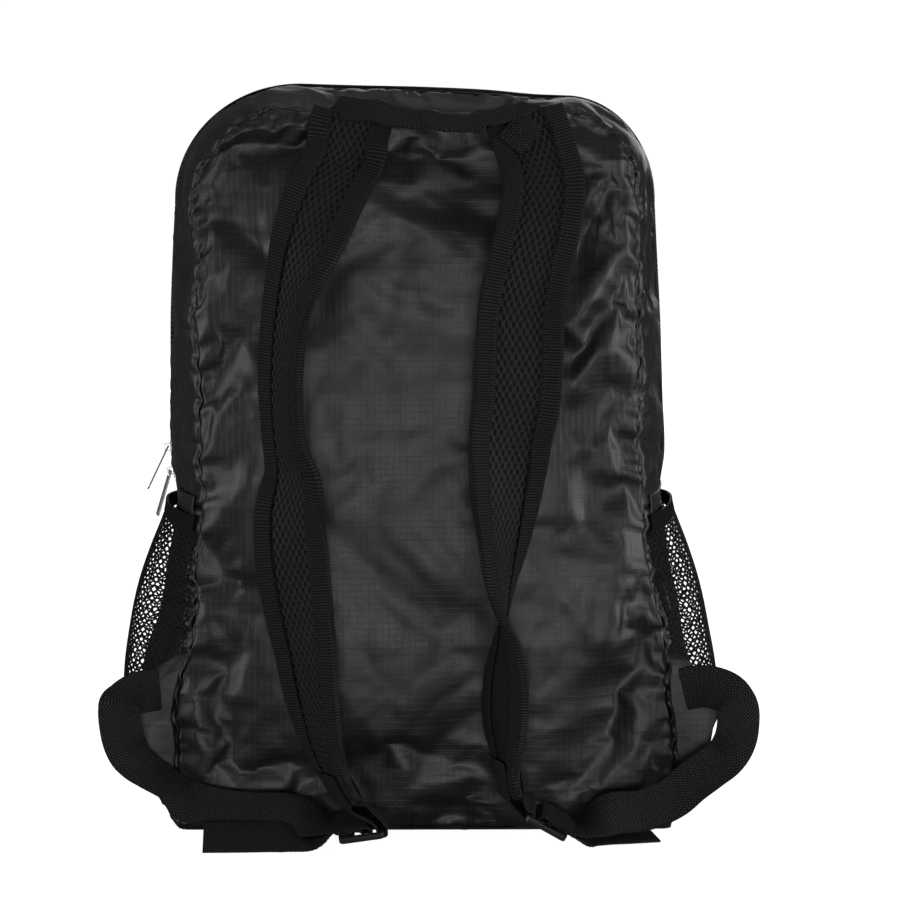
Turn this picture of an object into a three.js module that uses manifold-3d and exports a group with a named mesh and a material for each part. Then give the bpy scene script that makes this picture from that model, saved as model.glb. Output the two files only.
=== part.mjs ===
// A packable backpack that stands on its base, stuffed to its shape, in millimetres.
// +Z is up, +Y is the front panel's side, and the harness side faces -Y.
// The origin is the middle of the base, on the floor. The zip's arch lies in the plane y = 0.
import * as THREE from 'three';
import { mergeVertices } from 'three/addons/utils/BufferGeometryUtils.js';
import Module from 'manifold-3d';

const wasm = await Module();
wasm.setup();

// The cloth body
const PACK_HEIGHT = 438;
const PACK_WIDTH = 294;
const PACK_DEPTH = 160;
const CLOTH_WALL = 1.2;
const SEAM_GAP = 0.44;
const BACK_BULGE = 9;
const FRONT_BULGE = 22;
const FOLD_HEIGHT = 7;
const SEAM_GATHER = 0.9;
const BASE_SEAM_HEIGHT = 3;
const SEAT_GAP = 0.3;
// How square the cloth's pillow is, how full its band is, and how much of a panel's height bulges.
const PILLOW_SQUARENESS = 2.6;
const BAND_FULLNESS = 0.45;
const BULGE_SPAN = 0.94;
// Waves of the gathers, in turns a step, and the steps over which they fade at the base.
const GATHER_WAVE = 2.1;
const GATHER_RIPPLE = 3.7;
const RIPPLE_SHARE = 0.6;
const GATHER_FADE = 3;

// The zip
const ZIP_TAPE_WIDTH = 22;
const ZIP_CHAIN_WIDTH = 5;
const ZIP_CHAIN_HEIGHT = 1.2;
const ZIP_PATCH_WIDTH = 12;
const SLIDER_LENGTH = 9;
const SLIDER_SHELL = 0.8;
const SLIDER_RISE = 12;
const SLIDER_SPACING = 14;
const CROWN_WIDTH = 1.4;
const CROWN_WIRE = 0.9;
const CROWN_ROOM = 3.2;
const CROWN_LENGTH = 5.2;
const PULL_LENGTH = 29;
const PULL_WIDTH = 6.4;
const PULL_THICKNESS = 1;
const PULL_EYE = 3.6;
const PULL_RAIL = 1.1;
const PULL_TILT = 26;
const PULL_SWIVEL = 15;
const PULL_SIDEWAYS = 28;

// The shoulder straps
const STRAP_WIDTH = 50;
const STRAP_THICKNESS = 3.4;
const STRAP_STANDOFF = 26;
const BINDING_LAP = 12;
const BINDING_THICKNESS = 0.9;

// The webbing, its adjusters and the tabs that hold it
const WEBBING_WIDTH = 25;
const WEBBING_THICKNESS = 1.3;
const LOCK_BAR = 3.2;
const LOCK_SLOT = 5.6;
const LOCK_THUMB_PLATE = 6;
const LOCK_THICKNESS = 3.2;
const LOCK_RAIL = 3.4;
const WING_REACH = 30;
const WING_THICKNESS = 0.9;
const WING_GAP = 1.1;

// The haul handle and the side pockets
const HANDLE_WIDTH = 20;
const HANDLE_THICKNESS = 1.8;
const HANDLE_SPAN = 114;
const HANDLE_MIDDLE = 7;
const HANDLE_STANDOFF = 22;
const HANDLE_SAG = 4.4;
const HANDLE_LEAN = 50;
const POCKET_DROP = 13.3;
const POCKET_FLOOR = 24;
const POCKET_BULGE = 12;
const NET_THICKNESS = 0.9;
const ELASTIC_WIDTH = 9;
const ELASTIC_THICKNESS = 1.3;

// Steps across, up and through the cloth body
const COLUMN_COUNT = 14;
const ROW_COUNT = 24;
const CORNER_STEPS = 3;
const HALF_CORNER = 45;
const TAPE_FROM = 3;
const TAPE_TO = 5;
const DEPTH_STEPS = 8;
const ZIP_MIDDLE = 4;
const PATCH_FROM = 0.5;
const ZIP_END_ROW = 11;
const PATCH_ROWS = 2;

// Half widths by height, as shares of half the pack's width, for the seams and for the zip.
// rise is a share of the pack's height.
const FLANKS = [
  { rise: 0.007, seamLeft: 0.975, seamRight: 1.01, zipLeft: 1.06, zipRight: 1.07 },
  { rise: 0.06, seamLeft: 0.98, seamRight: 1.03, zipLeft: 1.135, zipRight: 1.14 },
  { rise: 0.12, seamLeft: 0.983, seamRight: 1.02, zipLeft: 1.143, zipRight: 1.15 },
  { rise: 0.18, seamLeft: 0.983, seamRight: 1.0, zipLeft: 1.143, zipRight: 1.143 },
  { rise: 0.25, seamLeft: 0.93, seamRight: 0.985, zipLeft: 1.11, zipRight: 1.1 },
  { rise: 0.32, seamLeft: 0.9, seamRight: 0.945, zipLeft: 1.07, zipRight: 1.06 },
  { rise: 0.4, seamLeft: 0.885, seamRight: 0.905, zipLeft: 1.005, zipRight: 1.0 },
  { rise: 0.44, seamLeft: 0.88, seamRight: 0.89, zipLeft: 0.985, zipRight: 0.975 },
  { rise: 0.5, seamLeft: 0.877, seamRight: 0.88, zipLeft: 1.01, zipRight: 0.995 },
  { rise: 0.57, seamLeft: 0.877, seamRight: 0.87, zipLeft: 1.012, zipRight: 0.986 },
  { rise: 0.68, seamLeft: 0.892, seamRight: 0.871, zipLeft: 1.01, zipRight: 0.973 },
  { rise: 0.78, seamLeft: 0.89, seamRight: 0.864, zipLeft: 0.997, zipRight: 0.956 },
  { rise: 0.84, seamLeft: 0.898, seamRight: 0.871, zipLeft: 0.986, zipRight: 0.946 },
];

// Top corners: reach is a share of half the pack's width, rise a share of its height.
const CORNERS = {
  back: { start: 0.84, left: { reach: 0.41, top: 0.974 }, right: { reach: 0.3, top: 0.974 } },
  zip: { start: 0.845, left: { reach: 0.5, top: 1.0 }, right: { reach: 0.36, top: 0.984 } },
  front: { start: 0.82, left: { reach: 0.46, top: 0.962 }, right: { reach: 0.4, top: 0.958 } },
};

// Dips of the top edges between the corners, as shares of the pack's height.
const TOP_DIPS = [
  { along: 0, back: 0, zip: 0, front: 0 },
  { along: 0.2, back: 0.004, zip: -0.001, front: -0.002 },
  { along: 0.45, back: 0.011, zip: -0.003, front: -0.004 },
  { along: 0.7, back: 0.012, zip: -0.003, front: -0.003 },
  { along: 0.88, back: 0.003, zip: 0, front: -0.001 },
  { along: 1, back: 0, zip: 0, front: 0 },
];

// Depths of the two panels' seams from the zip's plane, as shares of the pack's depth.
const DEPTHS = [
  { rise: 0, back: 0.45, front: 0.37 },
  { rise: 0.2, back: 0.462, front: 0.375 },
  { rise: 0.45, back: 0.43, front: 0.345 },
  { rise: 0.7, back: 0.4, front: 0.32 },
  { rise: 0.95, back: 0.375, front: 0.285 },
  { rise: 1, back: 0.37, front: 0.28 },
];

// Folds of each face. across runs from -1 to 1 and rise from 0 to 1 over the face, spread is a
// share of the pack's width, and swell is a share of the fold height, less than 0 for a dent.
const BACK_FOLDS = [
  { across: 0.93, rise: 0.83, toAcross: 0.6, toRise: 0.69, spread: 0.045, swell: 1.0 },
  { across: 0.9, rise: 0.765, toAcross: 0.6, toRise: 0.64, spread: 0.035, swell: -0.8 },
  { across: 0.95, rise: 0.735, toAcross: 0.62, toRise: 0.62, spread: 0.04, swell: 0.7 },
  { across: 0.9, rise: 0.95, toAcross: 0.68, toRise: 0.86, spread: 0.04, swell: 0.9 },
  { across: 0.8, rise: 0.9, toAcross: 0.62, toRise: 0.8, spread: 0.035, swell: -0.8 },
  { across: -0.86, rise: 0.94, toAcross: -0.5, toRise: 0.93, spread: 0.035, swell: -1.0 },
  { across: -0.9, rise: 0.86, toAcross: -0.66, toRise: 0.79, spread: 0.035, swell: -0.8 },
  { across: -0.3, rise: 0.94, toAcross: 0.35, toRise: 0.94, spread: 0.07, swell: -1.3 },
  { across: -0.95, rise: 0.56, toAcross: -0.82, toRise: 0.6, spread: 0.05, swell: 0.7 },
  { across: -0.95, rise: 0.43, toAcross: -0.75, toRise: 0.48, spread: 0.05, swell: 0.8 },
  { across: -0.92, rise: 0.39, toAcross: -0.78, toRise: 0.33, spread: 0.045, swell: -0.8 },
  { across: 0.9, rise: 0.36, toAcross: 0.72, toRise: 0.27, spread: 0.05, swell: 0.8 },
  { across: 0.9, rise: 0.27, toAcross: 0.72, toRise: 0.14, spread: 0.045, swell: -0.9 },
  { across: -0.92, rise: 0.2, toAcross: -0.92, toRise: 0.09, spread: 0.04, swell: 0.8 },
  { across: -0.82, rise: 0.26, toAcross: -0.78, toRise: 0.1, spread: 0.05, swell: -0.7 },
  { across: 0.12, rise: 0.3, toAcross: 0.2, toRise: 0.15, spread: 0.08, swell: -0.7 },
];
const FRONT_FOLDS = [
  { across: -0.7, rise: 0.9, toAcross: -0.3, toRise: 0.7, spread: 0.06, swell: -0.9 },
  { across: 0.75, rise: 0.88, toAcross: 0.4, toRise: 0.72, spread: 0.06, swell: -0.8 },
  { across: -0.85, rise: 0.5, toAcross: -0.45, toRise: 0.44, spread: 0.07, swell: -0.8 },
  { across: 0.85, rise: 0.46, toAcross: 0.4, toRise: 0.5, spread: 0.07, swell: -0.9 },
  { across: -0.6, rise: 0.1, toAcross: -0.35, toRise: 0.26, spread: 0.07, swell: -0.8 },
  { across: 0.6, rise: 0.08, toAcross: 0.3, toRise: 0.24, spread: 0.07, swell: -0.9 },
];
// Dents of the band round the flanks and the top: along is -1 at the left base and 1 at the
// right base, through 0 at the top, and across runs from -1 at the back to 1 at the front.
const BAND_FOLDS = [
  { across: -0.7, along: -0.38, toAcross: -0.4, toAlong: -0.3, spread: 0.05, swell: -0.8 },
  { across: -0.6, along: 0.4, toAcross: -0.45, toAlong: 0.32, spread: 0.05, swell: -0.8 },
  { across: 0.6, along: -0.3, toAcross: 0.45, toAlong: -0.22, spread: 0.05, swell: -0.8 },
  { across: 0.65, along: 0.3, toAcross: 0.5, toAlong: 0.2, spread: 0.05, swell: -0.8 },
  { across: -0.6, along: -0.06, toAcross: -0.55, toAlong: 0.06, spread: 0.05, swell: -0.6 },
];

// Shoulder straps from the top seam down. rise is a share of the pack's height, across a share
// of half its width, out a share of the stand-off, and width a share of the strap's width.
// roll turns the strap about its length, in degrees, its right edge outwards, and cup is the
// depth of its hollow as a share of its width.
const STRAPS = {
  left: [
    { rise: 0.944, across: -0.28, out: 0.17, roll: 0, cup: 0, width: 0.94 },
    { rise: 0.912, across: -0.295, out: 0.3, roll: 0, cup: 0, width: 0.94 },
    { rise: 0.86, across: -0.375, out: 0.72, roll: 5, cup: 0.03, width: 0.94 },
    { rise: 0.797, across: -0.45, out: 0.98, roll: 30, cup: 0.07, width: 0.96 },
    { rise: 0.73, across: -0.517, out: 1.05, roll: 55, cup: 0.1, width: 0.98 },
    { rise: 0.665, across: -0.545, out: 1.05, roll: 60, cup: 0.1, width: 1 },
    { rise: 0.6, across: -0.55, out: 1.02, roll: 62, cup: 0.08, width: 1 },
    { rise: 0.535, across: -0.53, out: 1, roll: 60, cup: 0.06, width: 1 },
    { rise: 0.495, across: -0.505, out: 0.98, roll: 50, cup: 0.05, width: 1 },
    { rise: 0.44, across: -0.515, out: 0.98, roll: 34, cup: 0.04, width: 0.98 },
    { rise: 0.385, across: -0.505, out: 0.98, roll: 26, cup: 0.03, width: 0.96 },
    { rise: 0.33, across: -0.485, out: 0.98, roll: 30, cup: 0.03, width: 0.94 },
    { rise: 0.265, across: -0.455, out: 1, roll: 38, cup: 0.04, width: 0.92 },
    { rise: 0.2, across: -0.43, out: 1, roll: 46, cup: 0.05, width: 0.9 },
    { rise: 0.135, across: -0.385, out: 1, roll: 58, cup: 0, width: 0.88 },
    { rise: 0.092, across: -0.335, out: 1, roll: 65, cup: 0, width: 0.84 },
    { rise: 0.064, across: -0.285, out: 1, roll: 65, cup: 0, width: 0.76 },
  ],
  right: [
    { rise: 0.946, across: 0.43, out: 0.17, roll: 0, cup: 0, width: 0.94 },
    { rise: 0.915, across: 0.46, out: 0.32, roll: 0, cup: 0, width: 0.94 },
    { rise: 0.875, across: 0.485, out: 0.6, roll: 0, cup: 0.02, width: 0.95 },
    { rise: 0.825, across: 0.465, out: 0.9, roll: 2, cup: 0.03, width: 0.96 },
    { rise: 0.777, across: 0.43, out: 1, roll: 4, cup: 0.04, width: 0.97 },
    { rise: 0.716, across: 0.395, out: 1.05, roll: 4, cup: 0.05, width: 1 },
    { rise: 0.652, across: 0.385, out: 1.05, roll: 0, cup: 0.04, width: 1.02 },
    { rise: 0.595, across: 0.375, out: 1.03, roll: -4, cup: 0.04, width: 1.02 },
    { rise: 0.55, across: 0.355, out: 1, roll: -14, cup: 0.05, width: 1 },
    { rise: 0.5, across: 0.345, out: 1, roll: -28, cup: 0.06, width: 1 },
    { rise: 0.43, across: 0.335, out: 0.98, roll: -48, cup: 0.05, width: 0.98 },
    { rise: 0.37, across: 0.325, out: 0.97, roll: -66, cup: 0.03, width: 0.96 },
    { rise: 0.32, across: 0.33, out: 0.96, roll: -84, cup: 0.02, width: 0.94 },
    { rise: 0.275, across: 0.345, out: 0.95, roll: -104, cup: 0.02, width: 0.92 },
    { rise: 0.22, across: 0.34, out: 0.95, roll: -118, cup: 0.04, width: 0.92 },
    { rise: 0.165, across: 0.33, out: 0.97, roll: -118, cup: 0.01, width: 0.9 },
    { rise: 0.12, across: 0.335, out: 0.98, roll: -107, cup: 0, width: 0.88 },
    { rise: 0.09, across: 0.345, out: 1, roll: -103, cup: 0, width: 0.84 },
    { rise: 0.075, across: 0.36, out: 1, roll: -103, cup: 0, width: 0.76 },
  ],
};
const STRAP_STEPS = 21;
const HANDLE_STEPS = 13;

// Middles of the strap adjusters: across and rise as above, out a share of the stand-off from
// the back panel. slope turns the adjuster's length down from level, in degrees.
const LOCKS = {
  left: { across: -0.235, rise: 0.026, out: 1.04, side: -1, slope: 8, lean: 11 },
  right: { across: 0.5, rise: 0.036, out: 1.02, side: 1, slope: 30, lean: 9 },
};

// Adjusting webbing from its tab to the adjuster: across and rise as above, out in shares of the
// stand-off from the back seam. lean, toward and up are the webbing's width direction, to the
// pack's middle, towards the front panel and upwards.
const WEBBING_RUNS = {
  left: [
    { across: 1.04, rise: 0.205, out: 0.19, lean: 0, toward: -0.05, up: -1 },
    { across: 1.1, rise: 0.21, out: 0.24, lean: 0.1, toward: -0.1, up: -1 },
    { across: 1.165, rise: 0.207, out: 0.4, lean: 0.5, toward: -0.25, up: -0.75 },
    { across: 1.19, rise: 0.19, out: 0.62, lean: 0.88, toward: -0.2, up: -0.4 },
    { across: 1.19, rise: 0.165, out: 0.75, lean: 0.97, toward: -0.05, up: -0.2 },
    { across: 1.175, rise: 0.137, out: 0.78, lean: 0.97, toward: 0.1, up: -0.1 },
    { across: 1.14, rise: 0.114, out: 0.74, lean: 0.8, toward: 0.55, up: 0.05 },
    { across: 1.08, rise: 0.096, out: 0.66, lean: 0.6, toward: 0.72, up: 0.3 },
    { across: 1.005, rise: 0.078, out: 0.6, lean: 0.3, toward: 0.8, up: 0.5 },
    { across: 0.935, rise: 0.056, out: 0.58, lean: 0.15, toward: 0.4, up: 0.9 },
    { across: 0.81, rise: 0.043, out: 0.6, lean: 0.08, toward: 0.08, up: 1 },
    { across: 0.67, rise: 0.039, out: 0.7, lean: 0, toward: 0.05, up: 1 },
    { across: 0.54, rise: 0.039, out: 0.82, lean: 0, toward: 0.3, up: 0.95 },
  ],
  right: [
    { across: 1.05, rise: 0.2, out: 0.19, lean: 0, toward: -0.05, up: -1 },
    { across: 1.12, rise: 0.206, out: 0.24, lean: 0.1, toward: -0.1, up: -1 },
    { across: 1.2, rise: 0.203, out: 0.4, lean: 0.5, toward: -0.25, up: -0.75 },
    { across: 1.245, rise: 0.188, out: 0.62, lean: 0.88, toward: -0.2, up: -0.4 },
    { across: 1.255, rise: 0.165, out: 0.75, lean: 0.97, toward: -0.05, up: -0.2 },
    { across: 1.25, rise: 0.14, out: 0.8, lean: 0.97, toward: 0.15, up: 0.1 },
    { across: 1.215, rise: 0.118, out: 0.8, lean: 0.75, toward: 0.4, up: 0.5 },
    { across: 1.15, rise: 0.1, out: 0.78, lean: 0.4, toward: 0.25, up: 0.9 },
    { across: 1.075, rise: 0.08, out: 0.76, lean: 0.25, toward: 0.1, up: 0.96 },
    { across: 1.0, rise: 0.058, out: 0.76, lean: 0.15, toward: 0.05, up: 1 },
    { across: 0.88, rise: 0.043, out: 0.85, lean: 0.05, toward: 0.08, up: 1 },
    { across: 0.76, rise: 0.041, out: 0.98, lean: 0, toward: 0.3, up: 0.95 },
  ],
};
// Free tails on the floor, from the adjuster to the cut end, in the same columns.
const WEBBING_TAILS = {
  left: [
    { across: 0.42, rise: 0.011, out: 1.3, lean: 0, toward: 0.98, up: 0.12 },
    { across: 0.55, rise: 0.014, out: 1.42, lean: 0, toward: 0.94, up: 0.34 },
    { across: 0.7, rise: 0.014, out: 1.44, lean: 0, toward: 0.94, up: 0.34 },
    { across: 0.86, rise: 0.014, out: 1.46, lean: 0, toward: 0.94, up: 0.34 },
  ],
  right: [
    { across: 0.67, rise: 0.0075, out: 0.95, lean: 0, toward: 1, up: 0.02 },
    { across: 0.78, rise: 0.0042, out: 0.78, lean: 0, toward: 1, up: 0 },
    { across: 0.94, rise: 0.0042, out: 0.62, lean: 0, toward: 1, up: 0 },
  ],
};

// Cloth tabs in the lower side seams: reach is a share of the tabs' greatest reach.
const WINGS = [
  { rise: 0.256, reach: 0.03 },
  { rise: 0.236, reach: 0.42 },
  { rise: 0.213, reach: 0.74 },
  { rise: 0.189, reach: 1 },
  { rise: 0.155, reach: 0.8 },
  { rise: 0.12, reach: 0.55 },
  { rise: 0.08, reach: 0.28 },
  { rise: 0.045, reach: 0.05 },
];

// Stand-off of the nets and of their mouths from the flank, as shares of the pockets' bulge.
const NET_SWELL = [
  { up: 0, out: 0.05 },
  { up: 0.12, out: 0.6 },
  { up: 0.35, out: 0.95 },
  { up: 0.6, out: 1.05 },
  { up: 0.85, out: 0.85 },
  { up: 1, out: 0.6 },
];

const point = (x, y, z) => new THREE.Vector3(x, y, z);
const mix = THREE.MathUtils.lerp;
const radians = THREE.MathUtils.degToRad;

// A table's column at a given key, smoothed through its rows.
function column(rows, key, name, at) {
  const last = rows.length - 1;
  if (at <= rows[0][key]) return rows[0][name];
  if (at >= rows[last][key]) return rows[last][name];
  const i = rows.findIndex((row) => row[key] > at) - 1;
  const slope = (a, b) => (rows[b][name] - rows[a][name]) / (rows[b][key] - rows[a][key]);
  const span = rows[i + 1][key] - rows[i][key];
  const before = slope(Math.max(i - 1, 0), i + 1) * span;
  const after = slope(i, Math.min(i + 2, last)) * span;
  const t = (at - rows[i][key]) / span;
  const t2 = t * t;
  const t3 = t2 * t;
  return (2 * t3 - 3 * t2 + 1) * rows[i][name] + (t3 - 2 * t2 + t) * before
    + (3 * t2 - 2 * t3) * rows[i + 1][name] + (t3 - t2) * after;
}

const halfWidth = PACK_WIDTH / 2;

// Where a seam runs at one height, on the side that sign names, and the height itself.
function flankPoint(seam, sign, row) {
  const side = sign < 0 ? 'Left' : 'Right';
  const name = (seam === 'zip' ? 'zip' : 'seam') + side;
  const corner = CORNERS[seam];
  const arc = sign < 0 ? corner.left : corner.right;
  const straightRows = ROW_COUNT - CORNER_STEPS;
  const base = BASE_SEAM_HEIGHT / PACK_HEIGHT;
  if (row <= straightRows) {
    const rise = mix(base, corner.start, row / straightRows);
    return { x: sign * halfWidth * column(FLANKS, 'rise', name, rise), z: rise * PACK_HEIGHT };
  }
  return cornerPoint(seam, sign, arc, (row - straightRows) / CORNER_STEPS * HALF_CORNER);
}

// A point of a top corner's arc, at an angle up from the flank.
function cornerPoint(seam, sign, arc, angle) {
  const side = sign < 0 ? 'Left' : 'Right';
  const name = (seam === 'zip' ? 'zip' : 'seam') + side;
  const start = CORNERS[seam].start;
  const edge = column(FLANKS, 'rise', name, start);
  const turn = radians(angle);
  const share = edge - arc.reach * (1 - Math.cos(turn));
  return { x: sign * halfWidth * share, z: PACK_HEIGHT * mix(start, arc.top, Math.sin(turn)) };
}

function topPoint(seam, step) {
  const corner = CORNERS[seam];
  const fromRight = COLUMN_COUNT - step;
  const turn = (steps) => (1 + steps / CORNER_STEPS) * HALF_CORNER;
  if (step <= CORNER_STEPS) return cornerPoint(seam, -1, corner.left, turn(step));
  if (fromRight <= CORNER_STEPS) return cornerPoint(seam, 1, corner.right, turn(fromRight));
  const along = (step - CORNER_STEPS) / (COLUMN_COUNT - 2 * CORNER_STEPS);
  const left = cornerPoint(seam, -1, corner.left, 2 * HALF_CORNER);
  const right = cornerPoint(seam, 1, corner.right, 2 * HALF_CORNER);
  const dip = column(TOP_DIPS, 'along', seam, along) * PACK_HEIGHT;
  return { x: mix(left.x, right.x, along), z: mix(left.z, right.z, along) - dip };
}

// How far through the band a depth step lies: 0 at the panel's seam and 1 at the zip.
function bandShare(step, seamDepth) {
  const tape = 1 - ZIP_TAPE_WIDTH / 2 / seamDepth;
  if (step <= TAPE_FROM) return step / TAPE_FROM * tape;
  return mix(tape, 1, (step - TAPE_FROM) / (ZIP_MIDDLE - TAPE_FROM));
}

// A point of the band that runs up one flank, over the top and down the other.
function bandPoint(place, step) {
  const toFront = step > ZIP_MIDDLE;
  const seam = toFront ? 'front' : 'back';
  const steps = toFront ? DEPTH_STEPS - step : step;
  const at = (name) => (place.top ? topPoint(name, place.step) : flankPoint(name, place.sign, place.step));
  const edge = at(seam);
  const zip = at('zip');
  const depth = PACK_DEPTH * column(DEPTHS, 'rise', seam, edge.z / PACK_HEIGHT);
  const turn = bandShare(steps, depth) * Math.PI / 2;
  const outward = Math.sin(turn);
  const away = mix(1 - turn / (Math.PI / 2), Math.cos(turn), BAND_FULLNESS);
  const y = (toFront ? 1 : -1) * depth * away;
  return point(mix(edge.x, zip.x, outward), y, mix(edge.z, zip.z, outward));
}

// The distance from a point of a face to a fold's line, with the share of the way along it.
function foldHeight(folds, place, size) {
  let height = 0;
  for (const fold of folds) {
    const from = new THREE.Vector2(fold.across * size.x, fold.rise * size.y);
    const to = new THREE.Vector2(fold.toAcross * size.x, fold.toRise * size.y);
    const line = to.clone().sub(from);
    const here = new THREE.Vector2(place.across * size.x, place.rise * size.y).sub(from);
    const along = THREE.MathUtils.clamp(here.dot(line) / line.lengthSq(), 0, 1);
    const away = here.sub(line.multiplyScalar(along)).length() / (fold.spread * PACK_WIDTH);
    height += fold.swell * FOLD_HEIGHT * Math.exp(-away * away);
  }
  return height;
}

const pillow = (share) => 1 - Math.abs(2 * share - 1) ** PILLOW_SQUARENESS;

// The nodes of the body's outer skin, on a box of columns, rows and depth steps.
const nodes = new Map();
const nodeName = (i, k, j) => `${i},${k},${j}`;

function edgeNode(i, k, j) {
  if (k === ROW_COUNT) return bandPoint({ top: true, step: i }, j);
  return bandPoint({ top: false, sign: i === 0 ? -1 : 1, step: k }, j);
}

function panelPoint(i, k, j) {
  const u = i / COLUMN_COUNT;
  const w = k / ROW_COUNT;
  const left = edgeNode(0, k, j);
  const right = edgeNode(COLUMN_COUNT, k, j);
  const top = edgeNode(i, ROW_COUNT, j);
  const baseLeft = edgeNode(0, 0, j);
  const baseRight = edgeNode(COLUMN_COUNT, 0, j);
  const base = baseLeft.clone().lerp(baseRight, u);
  const across = left.clone().lerp(right, u);
  const topCorners = edgeNode(0, ROW_COUNT, j).lerp(edgeNode(COLUMN_COUNT, ROW_COUNT, j), u);
  const corners = base.clone().lerp(topCorners, w);
  const p = base.lerp(top, w).add(across).sub(corners);
  const toFront = j > 0;
  const upward = pillow(w * BULGE_SPAN + (1 - BULGE_SPAN) / 2);
  const bulge = (toFront ? FRONT_BULGE : BACK_BULGE) * pillow(u) * upward;
  const size = new THREE.Vector2(halfWidth, PACK_HEIGHT);
  const place = { across: 2 * u - 1, rise: w };
  const fold = foldHeight(toFront ? FRONT_FOLDS : BACK_FOLDS, place, size);
  const fade = Math.min(1, 6 * Math.min(u, 1 - u, w, 1 - w));
  p.y += (toFront ? 1 : -1) * (bulge + fold * fade);
  return p;
}

function bottomPoint(i, j) {
  const left = edgeNode(0, 0, j);
  const right = edgeNode(COLUMN_COUNT, 0, j);
  const back = panelPoint(i, 0, 0);
  const front = panelPoint(i, 0, DEPTH_STEPS);
  const away = (left.y - edgeNode(0, 0, 0).y) / (edgeNode(0, 0, DEPTH_STEPS).y - edgeNode(0, 0, 0).y);
  return point(mix(left.x, right.x, i / COLUMN_COUNT), mix(back.y, front.y, away), 0);
}

for (let i = 0; i <= COLUMN_COUNT; i++) {
  for (let k = 0; k <= ROW_COUNT; k++) {
    for (let j = 0; j <= DEPTH_STEPS; j++) {
      const onPanel = j === 0 || j === DEPTH_STEPS;
      const onBand = i === 0 || i === COLUMN_COUNT || k === ROW_COUNT;
      if (onBand) nodes.set(nodeName(i, k, j), { p: edgeNode(i, k, j), i, k, j });
      else if (onPanel) nodes.set(nodeName(i, k, j), { p: panelPoint(i, k, j), i, k, j });
      else if (k === 0) nodes.set(nodeName(i, k, j), { p: bottomPoint(i, j), i, k, j });
    }
  }
}

// The skin's faces, each four nodes anticlockwise from outside, by the panel they belong to.
const panels = {};
function addQuad(panel, ...corners) {
  panels[panel] ??= [];
  panels[panel].push(corners.map(([i, k, j]) => nodeName(i, k, j)));
}
function bandPanel(j, side, k) {
  if (k < ZIP_END_ROW) return `side_panel_${side}`;
  if (j < TAPE_FROM) return 'gusset_back';
  return j < TAPE_TO ? 'zip_tape' : 'gusset_front';
}
for (let k = 0; k < ROW_COUNT; k++) {
  for (let i = 0; i < COLUMN_COUNT; i++) {
    addQuad('back_panel', [i, k, 0], [i + 1, k, 0], [i + 1, k + 1, 0], [i, k + 1, 0]);
    const j = DEPTH_STEPS;
    addQuad('front_panel', [i + 1, k, j], [i, k, j], [i, k + 1, j], [i + 1, k + 1, j]);
  }
  for (let j = 0; j < DEPTH_STEPS; j++) {
    const i = COLUMN_COUNT;
    addQuad(bandPanel(j, 'left', k), [0, k, j + 1], [0, k, j], [0, k + 1, j], [0, k + 1, j + 1]);
    addQuad(bandPanel(j, 'right', k), [i, k, j], [i, k, j + 1], [i, k + 1, j + 1], [i, k + 1, j]);
  }
}
for (let i = 0; i < COLUMN_COUNT; i++) {
  for (let j = 0; j < DEPTH_STEPS; j++) {
    const k = ROW_COUNT;
    addQuad(bandPanel(j, 'top', k), [i, k, j], [i + 1, k, j], [i + 1, k, j + 1], [i, k, j + 1]);
    addQuad('bottom_panel', [i, 0, j + 1], [i + 1, 0, j + 1], [i + 1, 0, j], [i, 0, j]);
  }
}

function findNormals() {
  for (const node of nodes.values()) node.normal = point(0, 0, 0);
  for (const quads of Object.values(panels)) {
    for (const quad of quads) {
      const [a, b, c, d] = quad.map((name) => nodes.get(name));
      const normal = c.p.clone().sub(a.p).cross(d.p.clone().sub(b.p)).normalize();
      for (const node of [a, b, c, d]) node.normal.add(normal);
    }
  }
  for (const node of nodes.values()) node.normal.normalize();
}

// Gathers along the panels' seams, and the dents of the band between them.
findNormals();
for (const node of nodes.values()) {
  const onFlank = node.i === 0 || node.i === COLUMN_COUNT;
  if (!onFlank && node.k !== ROW_COUNT) continue;
  const reach = 2 * ROW_COUNT + COLUMN_COUNT;
  const walked = node.k === ROW_COUNT ? ROW_COUNT + node.i : (node.i === 0 ? node.k : reach - node.k);
  const fade = Math.min(1, walked / GATHER_FADE, (reach - walked) / GATHER_FADE);
  const along = 2 * walked / reach - 1;
  if (node.j === 0 || node.j === DEPTH_STEPS) {
    const wave = Math.sin(walked * GATHER_WAVE) + RIPPLE_SHARE * Math.sin(walked * GATHER_RIPPLE + node.j);
    node.p.addScaledVector(node.normal, SEAM_GATHER * wave * fade);
    continue;
  }
  const onTape = node.j >= TAPE_FROM && node.j <= TAPE_TO;
  if (onTape || (onFlank && node.k < ZIP_END_ROW + PATCH_ROWS)) continue;
  const size = new THREE.Vector2(PACK_DEPTH / 2, reach / ROW_COUNT * PACK_HEIGHT / 2);
  const folds = BAND_FOLDS.map((fold) => ({ ...fold, rise: fold.along, toRise: fold.toAlong }));
  const height = foldHeight(folds, { across: 2 * node.j / DEPTH_STEPS - 1, rise: along }, size);
  node.p.addScaledVector(node.normal, height);
}
findNormals();

// A closed mesh from a list of corners and a list of triangles.
function meshGeometry(corners, triangles) {
  const geometry = new THREE.BufferGeometry();
  const positions = corners.flatMap((corner) => corner.toArray());
  geometry.setAttribute('position', new THREE.Float32BufferAttribute(positions, 3));
  geometry.setIndex(triangles.flat());
  geometry.computeVertexNormals();
  return geometry;
}

// The two triangles of a four-sided face, cut along its shorter diagonal.
function splitQuad(corners, [a, b, c, d]) {
  if (corners[a].distanceTo(corners[c]) <= corners[b].distanceTo(corners[d])) {
    return [[a, b, c], [a, c, d]];
  }
  return [[a, b, d], [b, c, d]];
}

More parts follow.
